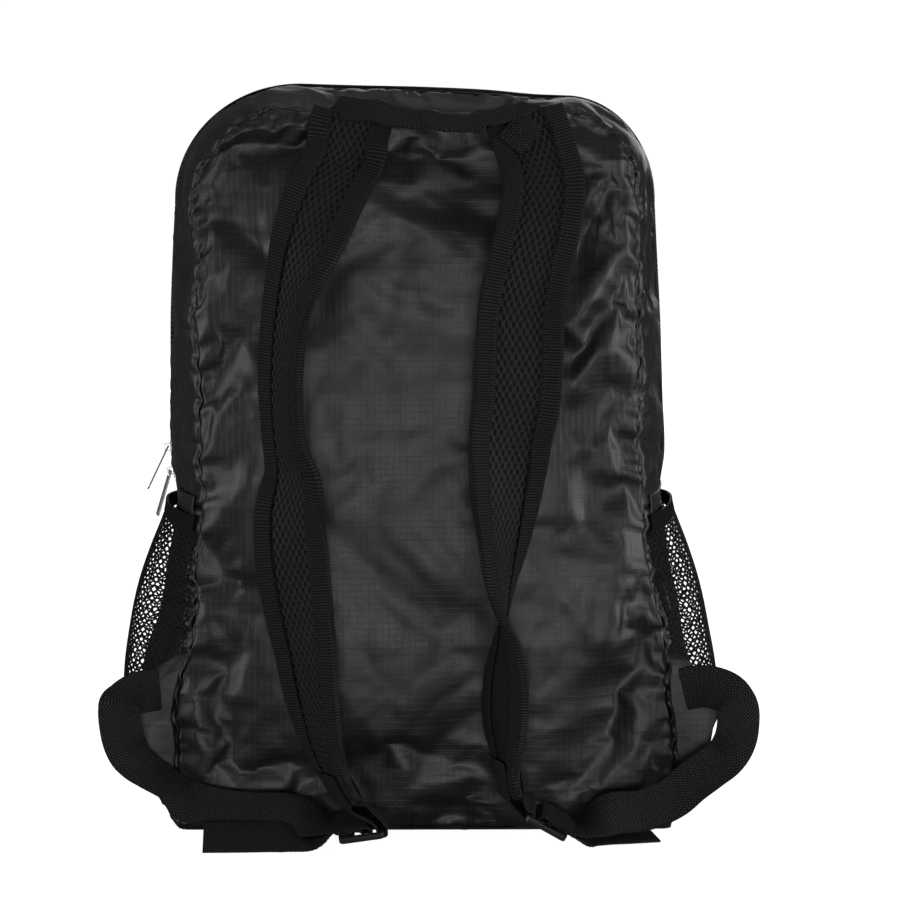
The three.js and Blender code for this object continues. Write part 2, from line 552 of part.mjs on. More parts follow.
// One cloth panel: its share of the skin, pulled back from its seams, with its wall behind it.
function clothPanel(quads) {
  const index = new Map();
  const outer = [];
  const normals = [];
  const faces = quads.map((quad) => quad.map((name) => {
    if (!index.has(name)) {
      index.set(name, outer.length);
      outer.push(nodes.get(name).p.clone());
      normals.push(nodes.get(name).normal);
    }
    return index.get(name);
  }));
  const edges = new Map();
  for (const face of faces) {
    face.forEach((a, n) => edges.set(`${a},${face[(n + 1) % 4]}`, { a, b: face[(n + 1) % 4], face }));
  }
  const rim = [...edges.values()].filter(({ a, b }) => !edges.has(`${b},${a}`));
  const inwards = outer.map(() => []);
  for (const { a, b, face } of rim) {
    const along = outer[b].clone().sub(outer[a]).normalize();
    const middle = outer[a].clone().add(outer[b]).multiplyScalar(0.5);
    const centre = face.reduce((sum, n) => sum.add(outer[n]), point(0, 0, 0)).multiplyScalar(0.25);
    const inward = centre.sub(middle);
    inward.addScaledVector(along, -inward.dot(along)).normalize();
    inwards[a].push(inward);
    inwards[b].push(inward);
  }
  const moved = outer.map((corner, n) => {
    if (inwards[n].length < 2) return corner;
    const [first, second] = inwards[n];
    const pull = first.clone().add(second).multiplyScalar(SEAM_GAP / 2 / (1 + first.dot(second)));
    return corner.clone().add(pull);
  });
  const count = outer.length;
  const inner = moved.map((corner, n) => corner.clone().addScaledVector(normals[n], -CLOTH_WALL));
  const corners = [...moved, ...inner];
  const triangles = [];
  for (const face of faces) {
    const cut = splitQuad(corners, face);
    triangles.push(...cut);
    for (const [a, b, c] of cut) triangles.push([a + count, c + count, b + count]);
  }
  for (const { a, b } of rim) triangles.push(...splitQuad(corners, [b, a, a + count, b + count]));
  return meshGeometry(corners, triangles);
}

// A point of a flank's skin at fractions of rows and depth steps, moved out by a distance.
function flankSkin(sign, row, step, out) {
  const i = sign < 0 ? 0 : COLUMN_COUNT;
  const k = Math.min(Math.floor(row), ROW_COUNT - 1);
  const j = Math.min(Math.floor(step), DEPTH_STEPS - 1);
  const at = (dk, dj) => nodes.get(nodeName(i, k + dk, j + dj));
  const blend = (name) => {
    const low = at(0, 0)[name].clone().lerp(at(0, 1)[name], step - j);
    return low.lerp(at(1, 0)[name].clone().lerp(at(1, 1)[name], step - j), row - k);
  };
  return blend('p').addScaledVector(blend('normal').normalize(), out);
}

// The row of the flank's nodes at a height, which is a fraction between two rows.
function flankRow(height) {
  const top = CORNERS.zip.start * PACK_HEIGHT;
  return (height - BASE_SEAM_HEIGHT) / (top - BASE_SEAM_HEIGHT) * (ROW_COUNT - CORNER_STEPS);
}

// How far the back panel's outside lies behind y = 0 at a place across and up it.
function backSkin(x, z) {
  const inside = (a, b, c, px, pz) => {
    const cross = (p, q) => (q.x - p.x) * (pz - p.z) - (q.z - p.z) * (px - p.x);
    const area = (b.x - a.x) * (c.z - a.z) - (b.z - a.z) * (c.x - a.x);
    const wa = cross(b, c) / area;
    const wb = cross(c, a) / area;
    const wc = cross(a, b) / area;
    return Math.min(wa, wb, wc) < -0.001 ? null : wa * a.y + wb * b.y + wc * c.y;
  };
  for (const quad of panels.back_panel) {
    const [a, b, c, d] = quad.map((name) => nodes.get(name).p);
    const y = inside(a, b, c, x, z) ?? inside(a, c, d, x, z);
    if (y !== null) return y;
  }
  return -PACK_DEPTH * column(DEPTHS, 'rise', 'back', z / PACK_HEIGHT);
}

// A strip along a route. Each station has its middle, its width direction, its width and the
// depth of its hollow as a share of that width. The section is a closed outline of distances
// across the strip and out of its face, worked out for each station.
function strip(stations, sectionAt) {
  const corners = [];
  const sections = stations.map((station) => sectionAt(station.width / 2));
  const count = sections[0].length;
  stations.forEach((station, s) => {
    const before = stations[Math.max(s - 1, 0)].middle;
    const after = stations[Math.min(s + 1, stations.length - 1)].middle;
    const heading = after.clone().sub(before).normalize();
    const across = station.across.clone();
    across.addScaledVector(heading, -across.dot(heading)).normalize();
    const face = heading.clone().cross(across);
    const half = station.width / 2;
    const hollow = (station.cup ?? 0) * station.width;
    for (const [side, out] of sections[s]) {
      const share = side / half;
      const slope = 2 * hollow * share / half;
      const length = Math.hypot(1, slope);
      corners.push(station.middle.clone()
        .addScaledVector(across, side - out * slope / length)
        .addScaledVector(face, hollow * (share * share - 1) + out / length));
    }
  });
  const triangles = [];
  for (let s = 0; s + 1 < stations.length; s++) {
    for (let n = 0; n < count; n++) {
      const next = (n + 1) % count;
      const quad = [s * count + n, s * count + next, (s + 1) * count + next, (s + 1) * count + n];
      triangles.push(...splitQuad(corners, quad));
    }
  }
  const flat = sections[0].map(([side, out]) => new THREE.Vector2(side, out));
  const end = (stations.length - 1) * count;
  for (const [a, b, c] of THREE.ShapeUtils.triangulateShape(flat, [])) {
    triangles.push([a, c, b], [end + a, end + b, end + c]);
  }
  return meshGeometry(corners, triangles);
}

// A flat band's section: a rectangle as wide as the station.
const bandSection = (thickness) => (half) => [
  [-half, -thickness / 2],
  [half, -thickness / 2],
  [half, thickness / 2],
  [-half, thickness / 2],
];

// The stations of one shoulder strap, evenly spaced along it.
function strapStations(rows) {
  const seat = STRAP_THICKNESS / 2 + BINDING_THICKNESS + 4 * SEAT_GAP;
  const reach = STRAP_WIDTH / 2;
  const middles = rows.map((row) => {
    const x = row.across * halfWidth;
    const z = row.rise * PACK_HEIGHT;
    const under = [-reach, -reach / 2, 0, reach / 2, reach]
      .flatMap((side) => [-1, 0, 1].map((up) => backSkin(x + side, z + up * seat)));
    return point(x, Math.min(backSkin(x, z) - row.out * STRAP_STANDOFF, Math.min(...under) - seat), z);
  });
  const route = new THREE.CatmullRomCurve3(middles, false, 'centripetal');
  const keyed = rows.map((row, key) => ({ ...row, key }));
  const stations = [];
  for (let s = 0; s <= STRAP_STEPS; s++) {
    const t = route.getUtoTmapping(s / STRAP_STEPS);
    const key = t * (rows.length - 1);
    const roll = radians(column(keyed, 'key', 'roll', key));
    stations.push({
      middle: route.getPoint(t),
      across: point(Math.cos(roll), -Math.sin(roll), 0),
      cup: column(keyed, 'key', 'cup', key),
      width: column(keyed, 'key', 'width', key) * STRAP_WIDTH,
    });
  }
  return stations;
}

function padSection(half) {
  const edge = half - BINDING_THICKNESS - SEAT_GAP;
  const lap = half - BINDING_LAP;
  const out = STRAP_THICKNESS / 2;
  const under = [-edge, -lap, 0, lap, edge].map((side) => [side, -out]);
  return [...under, ...under.map(([side]) => [side, out]).reverse()];
}

// A binding is folded over the strap's edge, on the side that sign names.
const bindingSection = (sign) => (half) => {
  const inner = STRAP_THICKNESS / 2 + SEAT_GAP;
  const outer = inner + BINDING_THICKNESS;
  const lap = half - BINDING_LAP;
  const fold = half - BINDING_THICKNESS;
  const section = [
    [lap, -outer], [half, -outer], [half, outer], [lap, outer],
    [lap, inner], [fold, inner], [fold, -inner], [lap, -inner],
  ];
  return sign > 0 ? section : section.map(([side, out]) => [-side, out]).reverse();
};

// A ladder lock's own directions: along it from its strap bar to its thumb plate, across it to
// the front panel's side, and out of the face that the webbing passes over.
const LOCK_LENGTH = 3 * LOCK_BAR + 2 * LOCK_SLOT + LOCK_THUMB_PLATE;
const LOCK_INSIDE = WEBBING_WIDTH + 2;
function lockFrame(place) {
  const x = place.across * halfWidth;
  const z = place.rise * PACK_HEIGHT;
  const middle = point(x, backSkin(x, z) - place.out * STRAP_STANDOFF, z);
  const along = point(place.side * Math.cos(radians(place.slope)), 0, -Math.sin(radians(place.slope)));
  const across = point(0, Math.cos(radians(place.lean)), Math.sin(radians(place.lean)));
  across.addScaledVector(along, -across.dot(along)).normalize();
  const face = along.clone().cross(across).multiplyScalar(place.side);
  return { middle, along, across, face };
}

function lockPoint(frame, along, out) {
  return frame.middle.clone()
    .addScaledVector(frame.along, along - LOCK_LENGTH / 2)
    .addScaledVector(frame.face, out);
}

// A rounded rectangle as a closed outline.
function roundedOutline(target, x, y, width, height, radius) {
  target.moveTo(x + radius, y);
  target.lineTo(x + width - radius, y);
  target.absarc(x + width - radius, y + radius, radius, -Math.PI / 2, 0, false);
  target.lineTo(x + width, y + height - radius);
  target.absarc(x + width - radius, y + height - radius, radius, 0, Math.PI / 2, false);
  target.lineTo(x + radius, y + height);
  target.absarc(x + radius, y + height - radius, radius, Math.PI / 2, Math.PI, false);
  target.lineTo(x, y + radius);
  target.absarc(x + radius, y + radius, radius, Math.PI, Math.PI * 1.5, false);
  return target;
}

function lockGeometry(frame) {
  const width = LOCK_INSIDE + 2 * LOCK_RAIL;
  const outline = roundedOutline(new THREE.Shape(), 0, -width / 2, LOCK_LENGTH, width, LOCK_BAR);
  for (const slot of [LOCK_BAR, 2 * LOCK_BAR + LOCK_SLOT]) {
    const hole = new THREE.Path();
    roundedOutline(hole, slot, -LOCK_INSIDE / 2, LOCK_SLOT, LOCK_INSIDE, LOCK_SLOT / 8);
    outline.holes.push(hole);
  }
  const depth = LOCK_THICKNESS;
  const geometry = new THREE.ExtrudeGeometry(outline, { depth, bevelEnabled: false, curveSegments: 2 });
  geometry.translate(-LOCK_LENGTH / 2, 0, -depth / 2);
  const out = frame.along.clone().cross(frame.across);
  const turned = new THREE.Matrix4().makeBasis(frame.along, frame.across, out);
  turned.setPosition(frame.middle);
  return closed(geometry.applyMatrix4(turned));
}

// The same faces with shared corners, which makes a geometry one closed body.
function closed(geometry) {
  geometry.deleteAttribute('normal');
  geometry.deleteAttribute('uv');
  const merged = mergeVertices(geometry, 1e-3);
  merged.computeVertexNormals();
  return merged;
}

// The adjusting webbing: sewn to its tab, down and along to the lock, over the middle bar and
// back under the thumb plate, and out along the floor to its cut end.
function webbingStations(side) {
  const sign = side === 'left' ? -1 : 1;
  const frame = lockFrame(LOCKS[side]);
  const place = (row) => {
    const z = row.rise * PACK_HEIGHT;
    const seam = -PACK_DEPTH * column(DEPTHS, 'rise', 'back', row.rise);
    return {
      middle: point(sign * row.across * halfWidth, seam - row.out * STRAP_STANDOFF, z),
      across: point(-sign * row.lean, row.toward, row.up).normalize(),
    };
  };
  const half = WEBBING_THICKNESS / 2;
  const layer = LOCK_THICKNESS / 2 + SEAT_GAP + half;
  const second = layer + WEBBING_THICKNESS + SEAT_GAP;
  const barFrom = LOCK_BAR + LOCK_SLOT;
  const barTo = barFrom + LOCK_BAR;
  const over = [
    [LOCK_LENGTH + 5, second], [LOCK_LENGTH - 3, second], [barTo + 1, second], [barFrom + 0.6, second - 0.2],
    [barFrom - SEAT_GAP - half, layer - 0.8],
  ];
  const back = [
    [barTo + SEAT_GAP + half, layer - 1.6], [barTo + SEAT_GAP + half + 1.6, layer],
    [LOCK_LENGTH - 3, layer], [LOCK_LENGTH + 4, layer],
  ];
  const through = [...over, ...turnUnder(barFrom), ...back]
    .map(([along, out]) => ({ middle: lockPoint(frame, along, out), across: frame.across.clone() }));
  const down = WEBBING_RUNS[side].map(place);
  const tail = WEBBING_TAILS[side].map(place);
  return [...down, ...through, ...tail].map((station) => ({ ...station, width: WEBBING_WIDTH }));
}

// The webbing's way down before a bar of the lock, under it and up behind it.
function turnUnder(bar) {
  const reach = SEAT_GAP + WEBBING_THICKNESS / 2;
  const cut = 0.45 * reach;
  const face = LOCK_THICKNESS / 2;
  return [
    [bar - reach, -face - cut], [bar - cut, -face - reach],
    [bar + LOCK_BAR + cut, -face - reach], [bar + LOCK_BAR + reach, -face - cut],
  ];
}

// The folded webbing at a strap's end, sewn over it and round the lock's strap bar.
function loopStations(side, strap) {
  const frame = lockFrame(LOCKS[side]);
  const half = WEBBING_THICKNESS / 2;
  const reach = SEAT_GAP + half;
  const seat = STRAP_THICKNESS / 2 + BINDING_THICKNESS + 4 * SEAT_GAP + reach;
  const layers = strap.slice(-3).map(({ middle, across }, n, last) => {
    const next = last[Math.min(n + 1, 2)].middle;
    const heading = next.clone().sub(last[Math.max(n - 1, 0)].middle).normalize();
    const width = across.clone().addScaledVector(heading, -across.dot(heading)).normalize();
    const face = heading.cross(width);
    return [-1, 1].map((sign) => ({
      middle: middle.clone().addScaledVector(face, sign * seat),
      across: width.clone(),
    }));
  });
  const onward = layers[2].map((layer, n) => {
    const step = layer.middle.clone().sub(layers[1][n].middle).setLength(2 * WEBBING_THICKNESS);
    return { ...layer, middle: layer.middle.clone().add(step) };
  });
  layers.shift();
  layers.push(onward);
  const facing = Math.sign(layers[1][0].across.dot(frame.across));
  const over = LOCK_THICKNESS / 2 + reach;
  const first = side === 'left' ? [[-1.5 * reach, over], [-1.2 * reach, 0]] : [[-2 * reach, -over]];
  const last = side === 'left'
    ? [[LOCK_BAR + reach, LOCK_THICKNESS / 2], [LOCK_BAR + 2 * reach, over + 2 * reach]]
    : [[LOCK_BAR + reach, LOCK_THICKNESS / 2], [LOCK_BAR, over + SEAT_GAP], [-reach, over + SEAT_GAP]];
  const turn = [...first, ...turnUnder(0), ...last].map(([along, out]) => ({
    middle: lockPoint(frame, along, out),
    across: frame.across.clone().multiplyScalar(facing),
  }));
  const down = layers.map(([outside]) => outside);
  const up = layers.map(([, inside]) => inside).reverse();
  return [...down, ...turn, ...up].map((station) => ({ ...station, width: WEBBING_WIDTH }));
}

// A thin closed sheet from a grid of points on its outer face, each with the way out of it.
function sheet(grid, thickness) {
  const across = grid[0].length;
  const flat = grid.flat();
  const corners = [
    ...flat.map(({ p }) => p),
    ...flat.map(({ p, normal }) => p.clone().addScaledVector(normal, -thickness)),
  ];
  const count = flat.length;
  const at = (r, c) => r * across + c;
  const first = corners[at(0, 1)].clone().sub(corners[at(0, 0)]);
  const turn = first.cross(corners[at(1, 0)].clone().sub(corners[at(0, 0)])).dot(flat[0].normal);
  const ordered = (quad) => (turn > 0 ? quad : quad.reverse());
  const triangles = [];
  for (let r = 0; r + 1 < grid.length; r++) {
    for (let c = 0; c + 1 < across; c++) {
      const quad = ordered([at(r, c), at(r, c + 1), at(r + 1, c + 1), at(r + 1, c)]);
      for (const [x, y, z] of splitQuad(corners, quad)) {
        triangles.push([x, y, z], [x + count, z + count, y + count]);
      }
    }
  }
  const last = grid.length - 1;
  const rim = [];
  for (let c = 0; c + 1 < across; c++) rim.push([at(0, c), at(0, c + 1)]);
  for (let r = 0; r < last; r++) rim.push([at(r, across - 1), at(r + 1, across - 1)]);
  for (let c = across - 1; c > 0; c--) rim.push([at(last, c), at(last, c - 1)]);
  for (let r = last; r > 0; r--) rim.push([at(r, 0), at(r - 1, 0)]);
  for (const [a, b] of rim) {
    triangles.push(...splitQuad(corners, ordered([b, a, a + count, b + count])));
  }
  return meshGeometry(corners, triangles);
}

// A cloth tab that stands out of a lower side seam, where the adjusting webbing is sewn on.
function wingGeometry(sign) {
  const steps = [0, 0.5, 1];
  const grid = WINGS.map((row) => {
    const seam = flankSkin(sign, flankRow(row.rise * PACK_HEIGHT), 0, 0);
    return steps.map((step) => {
      const out = WING_GAP + row.reach * WING_REACH * step;
      const wave = Math.sin(row.rise * 40) * step * 0.5;
      return {
        p: point(seam.x + sign * out, seam.y - WING_THICKNESS - WING_GAP - step + wave, seam.z),
        normal: point(0, -1, 0),
      };
    });
  });
  return sheet(grid, WING_THICKNESS);
}

// How far a side pocket stands off the flank, by its height and its place through the depth.
function pocketOut(up, step) {
  const round = Math.sin(Math.PI * step / DEPTH_STEPS) ** 0.7;
  return POCKET_BULGE * column(NET_SWELL, 'up', 'out', up) * round;
}

// A sheet that follows a flank between heights and depth steps, its outer face at a distance.
function flankSheet(sign, heights, steps, thickness, outAt) {
  const grid = heights.map((height) => steps.map((step) => {
    const row = flankRow(height);
    const p = flankSkin(sign, row, step, outAt(height, step));
    return { p, normal: p.clone().sub(flankSkin(sign, row, step, 0)).normalize() };
  }));
  return sheet(grid, thickness);
}

// The pockets' mouths hang a set way below the zip's ends.
const zipEnd = flankPoint('zip', -1, ZIP_END_ROW).z;
const pocketTop = zipEnd - POCKET_DROP;
const pocketHeight = pocketTop - POCKET_FLOOR;
const POCKET_STEPS = [0.15, 0.7, 1.5, 2.5, 3.5, 4.5, 5.5, 6.5, 7.3, 7.85];
const NET_RISES = [0, 0.07, 0.18, 0.32, 0.5, 0.68, 0.86, 1];
function netGeometry(sign) {
  const heights = NET_RISES.map((up) => mix(POCKET_FLOOR, pocketTop - SEAT_GAP, up));
  return flankSheet(sign, heights, POCKET_STEPS, NET_THICKNESS, (height, step) => (
    2 * SEAT_GAP + NET_THICKNESS + pocketOut((height - POCKET_FLOOR) / pocketHeight, step)
  ));
}

function elasticGeometry(sign) {
  const heights = [pocketTop, pocketTop + ELASTIC_WIDTH];
  return flankSheet(sign, heights, POCKET_STEPS, ELASTIC_THICKNESS, (height, step) => (
    2 * SEAT_GAP + ELASTIC_THICKNESS + pocketOut(1, step)
  ));
}

// The sewn patch over a zip end, from near the back seam to just past the tape.
function patchGeometry(sign) {
  const heights = [-0.5, 0, 0.5].map((share) => zipEnd + share * ZIP_PATCH_WIDTH);
  const steps = [];
  for (let step = PATCH_FROM; step <= TAPE_TO + 0.5; step += 0.5) steps.push(step);
  return flankSheet(sign, heights, steps, CLOTH_WALL, () => 2 * SEAT_GAP + CLOTH_WALL);
}

// The haul handle: sewn down along the top seam at both ends, and bowed out between them.
function handleStations() {
  const lean = radians(HANDLE_LEAN);
  const across = point(0, Math.cos(lean), Math.sin(lean));
  const face = point(0, -across.z, across.y);
  const stations = [];
  for (let n = 0; n <= HANDLE_STEPS; n++) {
    const share = n / HANDLE_STEPS;
    const bow = Math.sin(Math.PI * share) ** 0.8;
    const middle = topSeam(HANDLE_MIDDLE + HANDLE_SPAN * (share - 0.5))
      .addScaledVector(face, HANDLE_THICKNESS / 2 + 3 * SEAT_GAP)
      .addScaledVector(across, HANDLE_WIDTH / 5);
    middle.y -= bow * HANDLE_STANDOFF;
    middle.z -= bow * HANDLE_SAG;
    stations.push({ middle, across: across.clone(), width: HANDLE_WIDTH });
  }
  return stations;
}

// The point of the back panel's top seam at a place across it.
function topSeam(x) {
  for (let i = 0; i < COLUMN_COUNT; i++) {
    const a = nodes.get(nodeName(i, ROW_COUNT, 0)).p;
    const b = nodes.get(nodeName(i + 1, ROW_COUNT, 0)).p;
    if (a.x <= x && x <= b.x) return a.clone().lerp(b, (x - a.x) / (b.x - a.x));
  }
  return nodes.get(nodeName(x < 0 ? 0 : COLUMN_COUNT, ROW_COUNT, 0)).p.clone();
}

// The closed coil, along the middle of the tape from one flank over the top to the other.
function chainStations() {
  const out = SEAT_GAP + ZIP_CHAIN_HEIGHT / 2;
  const start = flankRow(zipEnd + ZIP_PATCH_WIDTH / 2 + SEAT_GAP);
  const rows = [start];
  for (let row = Math.ceil(start + 0.2); row < ROW_COUNT; row++) rows.push(row);
  const flank = (sign) => rows.map((row) => flankSkin(sign, row, ZIP_MIDDLE, out));
  const over = [];
  for (let i = 0; i <= COLUMN_COUNT; i++) {
    const { p, normal } = nodes.get(nodeName(i, ROW_COUNT, ZIP_MIDDLE));
    over.push(p.clone().addScaledVector(normal, out));
  }
  return [...flank(-1), ...over, ...flank(1).reverse()]
    .map((middle) => ({ middle, across: point(0, 1, 0), width: ZIP_CHAIN_WIDTH }));
}

// A closed mesh as a solid for joining, and back.
function solidOf(geometry) {
  const merged = closed(geometry);
  return new wasm.Manifold(new wasm.Mesh({
    numProp: 3,
    vertProperties: new Float32Array(merged.attributes.position.array),
    triVerts: new Uint32Array(merged.index.array),
  }));
}
function geometryOf(solid) {
  const mesh = solid.getMesh();
  const geometry = new THREE.BufferGeometry();
  geometry.setAttribute('position', new THREE.BufferAttribute(new Float32Array(mesh.vertProperties), 3));
  geometry.setIndex([...mesh.triVerts]);
  geometry.computeVertexNormals();
  return geometry;
}

// A slider's own directions: across the zip towards the back panel, up along it, and outwards.
const SLIDER_TOP = 2 * SEAT_GAP + ZIP_CHAIN_HEIGHT + SLIDER_SHELL;
function sliderFrame(height) {
  const row = flankRow(height);
  const base = flankSkin(-1, row, ZIP_MIDDLE, 0);
  const up = flankSkin(-1, row + 0.1, ZIP_MIDDLE, 0).sub(flankSkin(-1, row - 0.1, ZIP_MIDDLE, 0)).normalize();
  const out = flankSkin(-1, row, ZIP_MIDDLE, 1).sub(base);
  out.addScaledVector(up, -out.dot(up)).normalize();
  const frame = new THREE.Matrix4().makeBasis(up.clone().cross(out), up, out);
  return frame.setPosition(base);
}

function sliderGeometry() {
  const inside = ZIP_CHAIN_WIDTH / 2 + SEAT_GAP;
  const outside = inside + SLIDER_SHELL;
  const shoulder = SLIDER_TOP - SLIDER_SHELL / 2;
  const profile = new THREE.Shape([
    [-outside, SEAT_GAP], [-inside, SEAT_GAP], [-inside, SLIDER_TOP - SLIDER_SHELL],
    [inside, SLIDER_TOP - SLIDER_SHELL], [inside, SEAT_GAP], [outside, SEAT_GAP],
    [outside, shoulder], [inside, SLIDER_TOP], [-inside, SLIDER_TOP], [-outside, shoulder],
  ].map(([x, y]) => new THREE.Vector2(x, y)));
  const shell = new THREE.ExtrudeGeometry(profile, { depth: SLIDER_LENGTH, bevelEnabled: false });
  shell.translate(0, 0, -SLIDER_LENGTH / 2);
  shell.applyMatrix4(new THREE.Matrix4().makeBasis(point(1, 0, 0), point(0, 0, 1), point(0, -1, 0)));

  const sink = SLIDER_SHELL / 2;
  const crown = new THREE.Shape();
  const height = sink + CROWN_ROOM + CROWN_WIRE;
  roundedOutline(crown, -CROWN_LENGTH / 2, SLIDER_TOP - sink, CROWN_LENGTH, height, CROWN_WIRE);
  const eye = new THREE.Path();
  const clear = CROWN_LENGTH - 2 * CROWN_WIRE;
  roundedOutline(eye, -clear / 2, SLIDER_TOP, clear, CROWN_ROOM, CROWN_WIRE / 3);
  crown.holes.push(eye);
  const options = { depth: CROWN_WIDTH, bevelEnabled: false, curveSegments: 2 };
  const arch = new THREE.ExtrudeGeometry(crown, options);
  arch.translate(0, 0, -CROWN_WIDTH / 2);
  arch.applyMatrix4(new THREE.Matrix4().makeBasis(point(0, 1, 0), point(0, 0, 1), point(1, 0, 0)));
  return geometryOf(solidOf(shell).add(solidOf(arch)));
}

// A pull hangs along -y from its cross-piece, whose middle is the pull's own origin.
function pullGeometry() {
  const outline = new THREE.Shape();
  const end = PULL_THICKNESS / 2;
  roundedOutline(outline, -PULL_WIDTH / 2, end - PULL_LENGTH, PULL_WIDTH, PULL_LENGTH, PULL_RAIL);
  const eye = new THREE.Path();
  const inside = PULL_WIDTH - 2 * PULL_RAIL;
  roundedOutline(eye, -inside / 2, -end - PULL_EYE, inside, PULL_EYE, PULL_RAIL / 2);
  outline.holes.push(eye);
  const options = { depth: PULL_THICKNESS, bevelEnabled: false, curveSegments: 2 };
  const geometry = new THREE.ExtrudeGeometry(outline, options);
  geometry.translate(0, 0, -PULL_THICKNESS / 2);
  return closed(geometry);
}

const MATERIALS = {
  cloth: new THREE.MeshStandardMaterial({ color: '#17181b', roughness: 0.62 }),
  tape: new THREE.MeshStandardMaterial({ color: '#141517', roughness: 0.85 }),
  coil: new THREE.MeshStandardMaterial({ color: '#101113', roughness: 0.5 }),
  mesh: new THREE.MeshStandardMaterial({ color: '#1b1c1f', roughness: 0.95 }),
  binding: new THREE.MeshStandardMaterial({ color: '#121315', roughness: 0.85 }),
  webbing: new THREE.MeshStandardMaterial({ color: '#151618', roughness: 0.85 }),
  net: new THREE.MeshStandardMaterial({ color: '#18191b', roughness: 0.9 }),
  plastic: new THREE.MeshStandardMaterial({ color: '#202124', roughness: 0.5 }),
  metal: new THREE.MeshStandardMaterial({ color: '#b9bbbd', roughness: 0.3, metalness: 1 }),
};

function named(name, geometry, slot) {
  const mesh = new THREE.Mesh(geometry, MATERIALS[slot]);
  mesh.name = name;
  return mesh;
}
const sided = (sign) => (sign < 0 ? 'left' : 'right');

const body = new THREE.Group();
for (const [name, quads] of Object.entries(panels)) {
  body.add(named(name, clothPanel(quads), name === 'zip_tape' ? 'tape' : 'cloth'));
}
const chain = strip(chainStations(), bandSection(ZIP_CHAIN_HEIGHT));
body.add(named('zip_chain', chain, 'coil'));
for (const sign of [-1, 1]) {
  body.add(named(`zip_end_patch_${sided(sign)}`, patchGeometry(sign), 'cloth'));
  body.add(named(`wing_${sided(sign)}`, wingGeometry(sign), 'cloth'));
  body.add(named(`pocket_net_${sided(sign)}`, netGeometry(sign), 'net'));
  body.add(named(`pocket_elastic_${sided(sign)}`, elasticGeometry(sign), 'binding'));
}
body.add(named('haul_handle', strip(handleStations(), bandSection(HANDLE_THICKNESS)), 'webbing'));

const SLIDERS = [
  { name: 'lower', rise: SLIDER_RISE, sideways: 0 },
  { name: 'upper', rise: SLIDER_RISE + SLIDER_SPACING, sideways: PULL_SIDEWAYS },
];
for (const { name, rise, sideways } of SLIDERS) {
  const slider = new THREE.Group();
  slider.applyMatrix4(sliderFrame(zipEnd + rise));
  slider.add(named(`zip_slider_${name}`, sliderGeometry(), 'metal'));
  const pull = named(`zip_pull_${name}`, pullGeometry(), 'metal');
  pull.position.z = SLIDER_TOP + CROWN_ROOM / 2 + SEAT_GAP / 2;
  pull.rotation.set(-radians(PULL_TILT), radians(PULL_SWIVEL), radians(sideways), 'ZXY');
  slider.add(pull);
  body.add(slider);
}

const harness = new THREE.Group();
for (const side of ['left', 'right']) {
  const strap = strapStations(STRAPS[side]);
  harness.add(named(`strap_pad_${side}`, strip(strap, padSection), 'mesh'));
  const inner = side === 'left' ? 1 : -1;
  harness.add(named(`strap_binding_${side}_inner`, strip(strap, bindingSection(inner)), 'binding'));
  harness.add(named(`strap_binding_${side}_outer`, strip(strap, bindingSection(-inner)), 'binding'));
  const flat = bandSection(WEBBING_THICKNESS);
  harness.add(named(`strap_end_loop_${side}`, strip(loopStations(side, strap), flat), 'webbing'));
  harness.add(named(`ladder_lock_${side}`, lockGeometry(lockFrame(LOCKS[side])), 'plastic'));
  harness.add(named(`adjust_webbing_${side}`, strip(webbingStations(side), flat), 'webbing'));
}

const pack = new THREE.Group();
pack.name = 'packable_backpack';
pack.add(body, harness);
export default pack;
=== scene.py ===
import math

import bmesh
import bpy
import numpy as np
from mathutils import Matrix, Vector
from mathutils.bvhtree import BVHTree


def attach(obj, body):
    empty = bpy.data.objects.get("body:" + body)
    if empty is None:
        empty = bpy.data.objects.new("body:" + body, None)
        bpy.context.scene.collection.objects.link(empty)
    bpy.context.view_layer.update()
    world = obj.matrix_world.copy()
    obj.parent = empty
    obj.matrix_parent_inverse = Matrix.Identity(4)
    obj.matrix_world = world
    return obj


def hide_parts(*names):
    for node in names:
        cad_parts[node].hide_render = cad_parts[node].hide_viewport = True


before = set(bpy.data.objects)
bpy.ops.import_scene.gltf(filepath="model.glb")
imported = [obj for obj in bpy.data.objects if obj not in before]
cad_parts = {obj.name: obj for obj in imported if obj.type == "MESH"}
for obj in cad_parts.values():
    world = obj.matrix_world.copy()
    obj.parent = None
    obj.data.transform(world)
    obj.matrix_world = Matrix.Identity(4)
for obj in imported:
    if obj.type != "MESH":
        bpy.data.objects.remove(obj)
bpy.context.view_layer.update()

# Sizes are in millimetres and go to metres as each mesh is made.
MM = 0.001

# The cloth body
PACK_HEIGHT = 438
PACK_WIDTH = 294
PACK_DEPTH = 160
HALF_WIDTH = PACK_WIDTH / 2
BODY_MIDDLE = np.array([0, 0, PACK_HEIGHT / 2])
THROUGH = np.array([0.0, 1.0, 0.0])
BACK_BULGE = 9
FRONT_BULGE = 22
FOLD_HEIGHT = 7
FOLD_SHARPNESS = 1.7
PANEL_FULLNESS = 2.6
BAND_ROUNDNESS = 0.45
BASE_SEAM_HEIGHT = 3
BASE_TURN = 5
BASE_CLEARANCE = 0.02
SEAT_GAP = 0.3
SKIN_THICKNESS = 0.5
SEAM_DEPTH = 1.5
SEAM_LIP = 1.6
SEAM_WANDER = 0.9
PUCKER_LENGTH = 9
PUCKER_REACH = 15
SEAM_CROWDING = 0.6
BAND_CROWDING = 0.5
SLACK = 0.03
BUCKLE_FRAMES = 22
BUCKLE_CAP = 5
BAND_CAP = 2.5

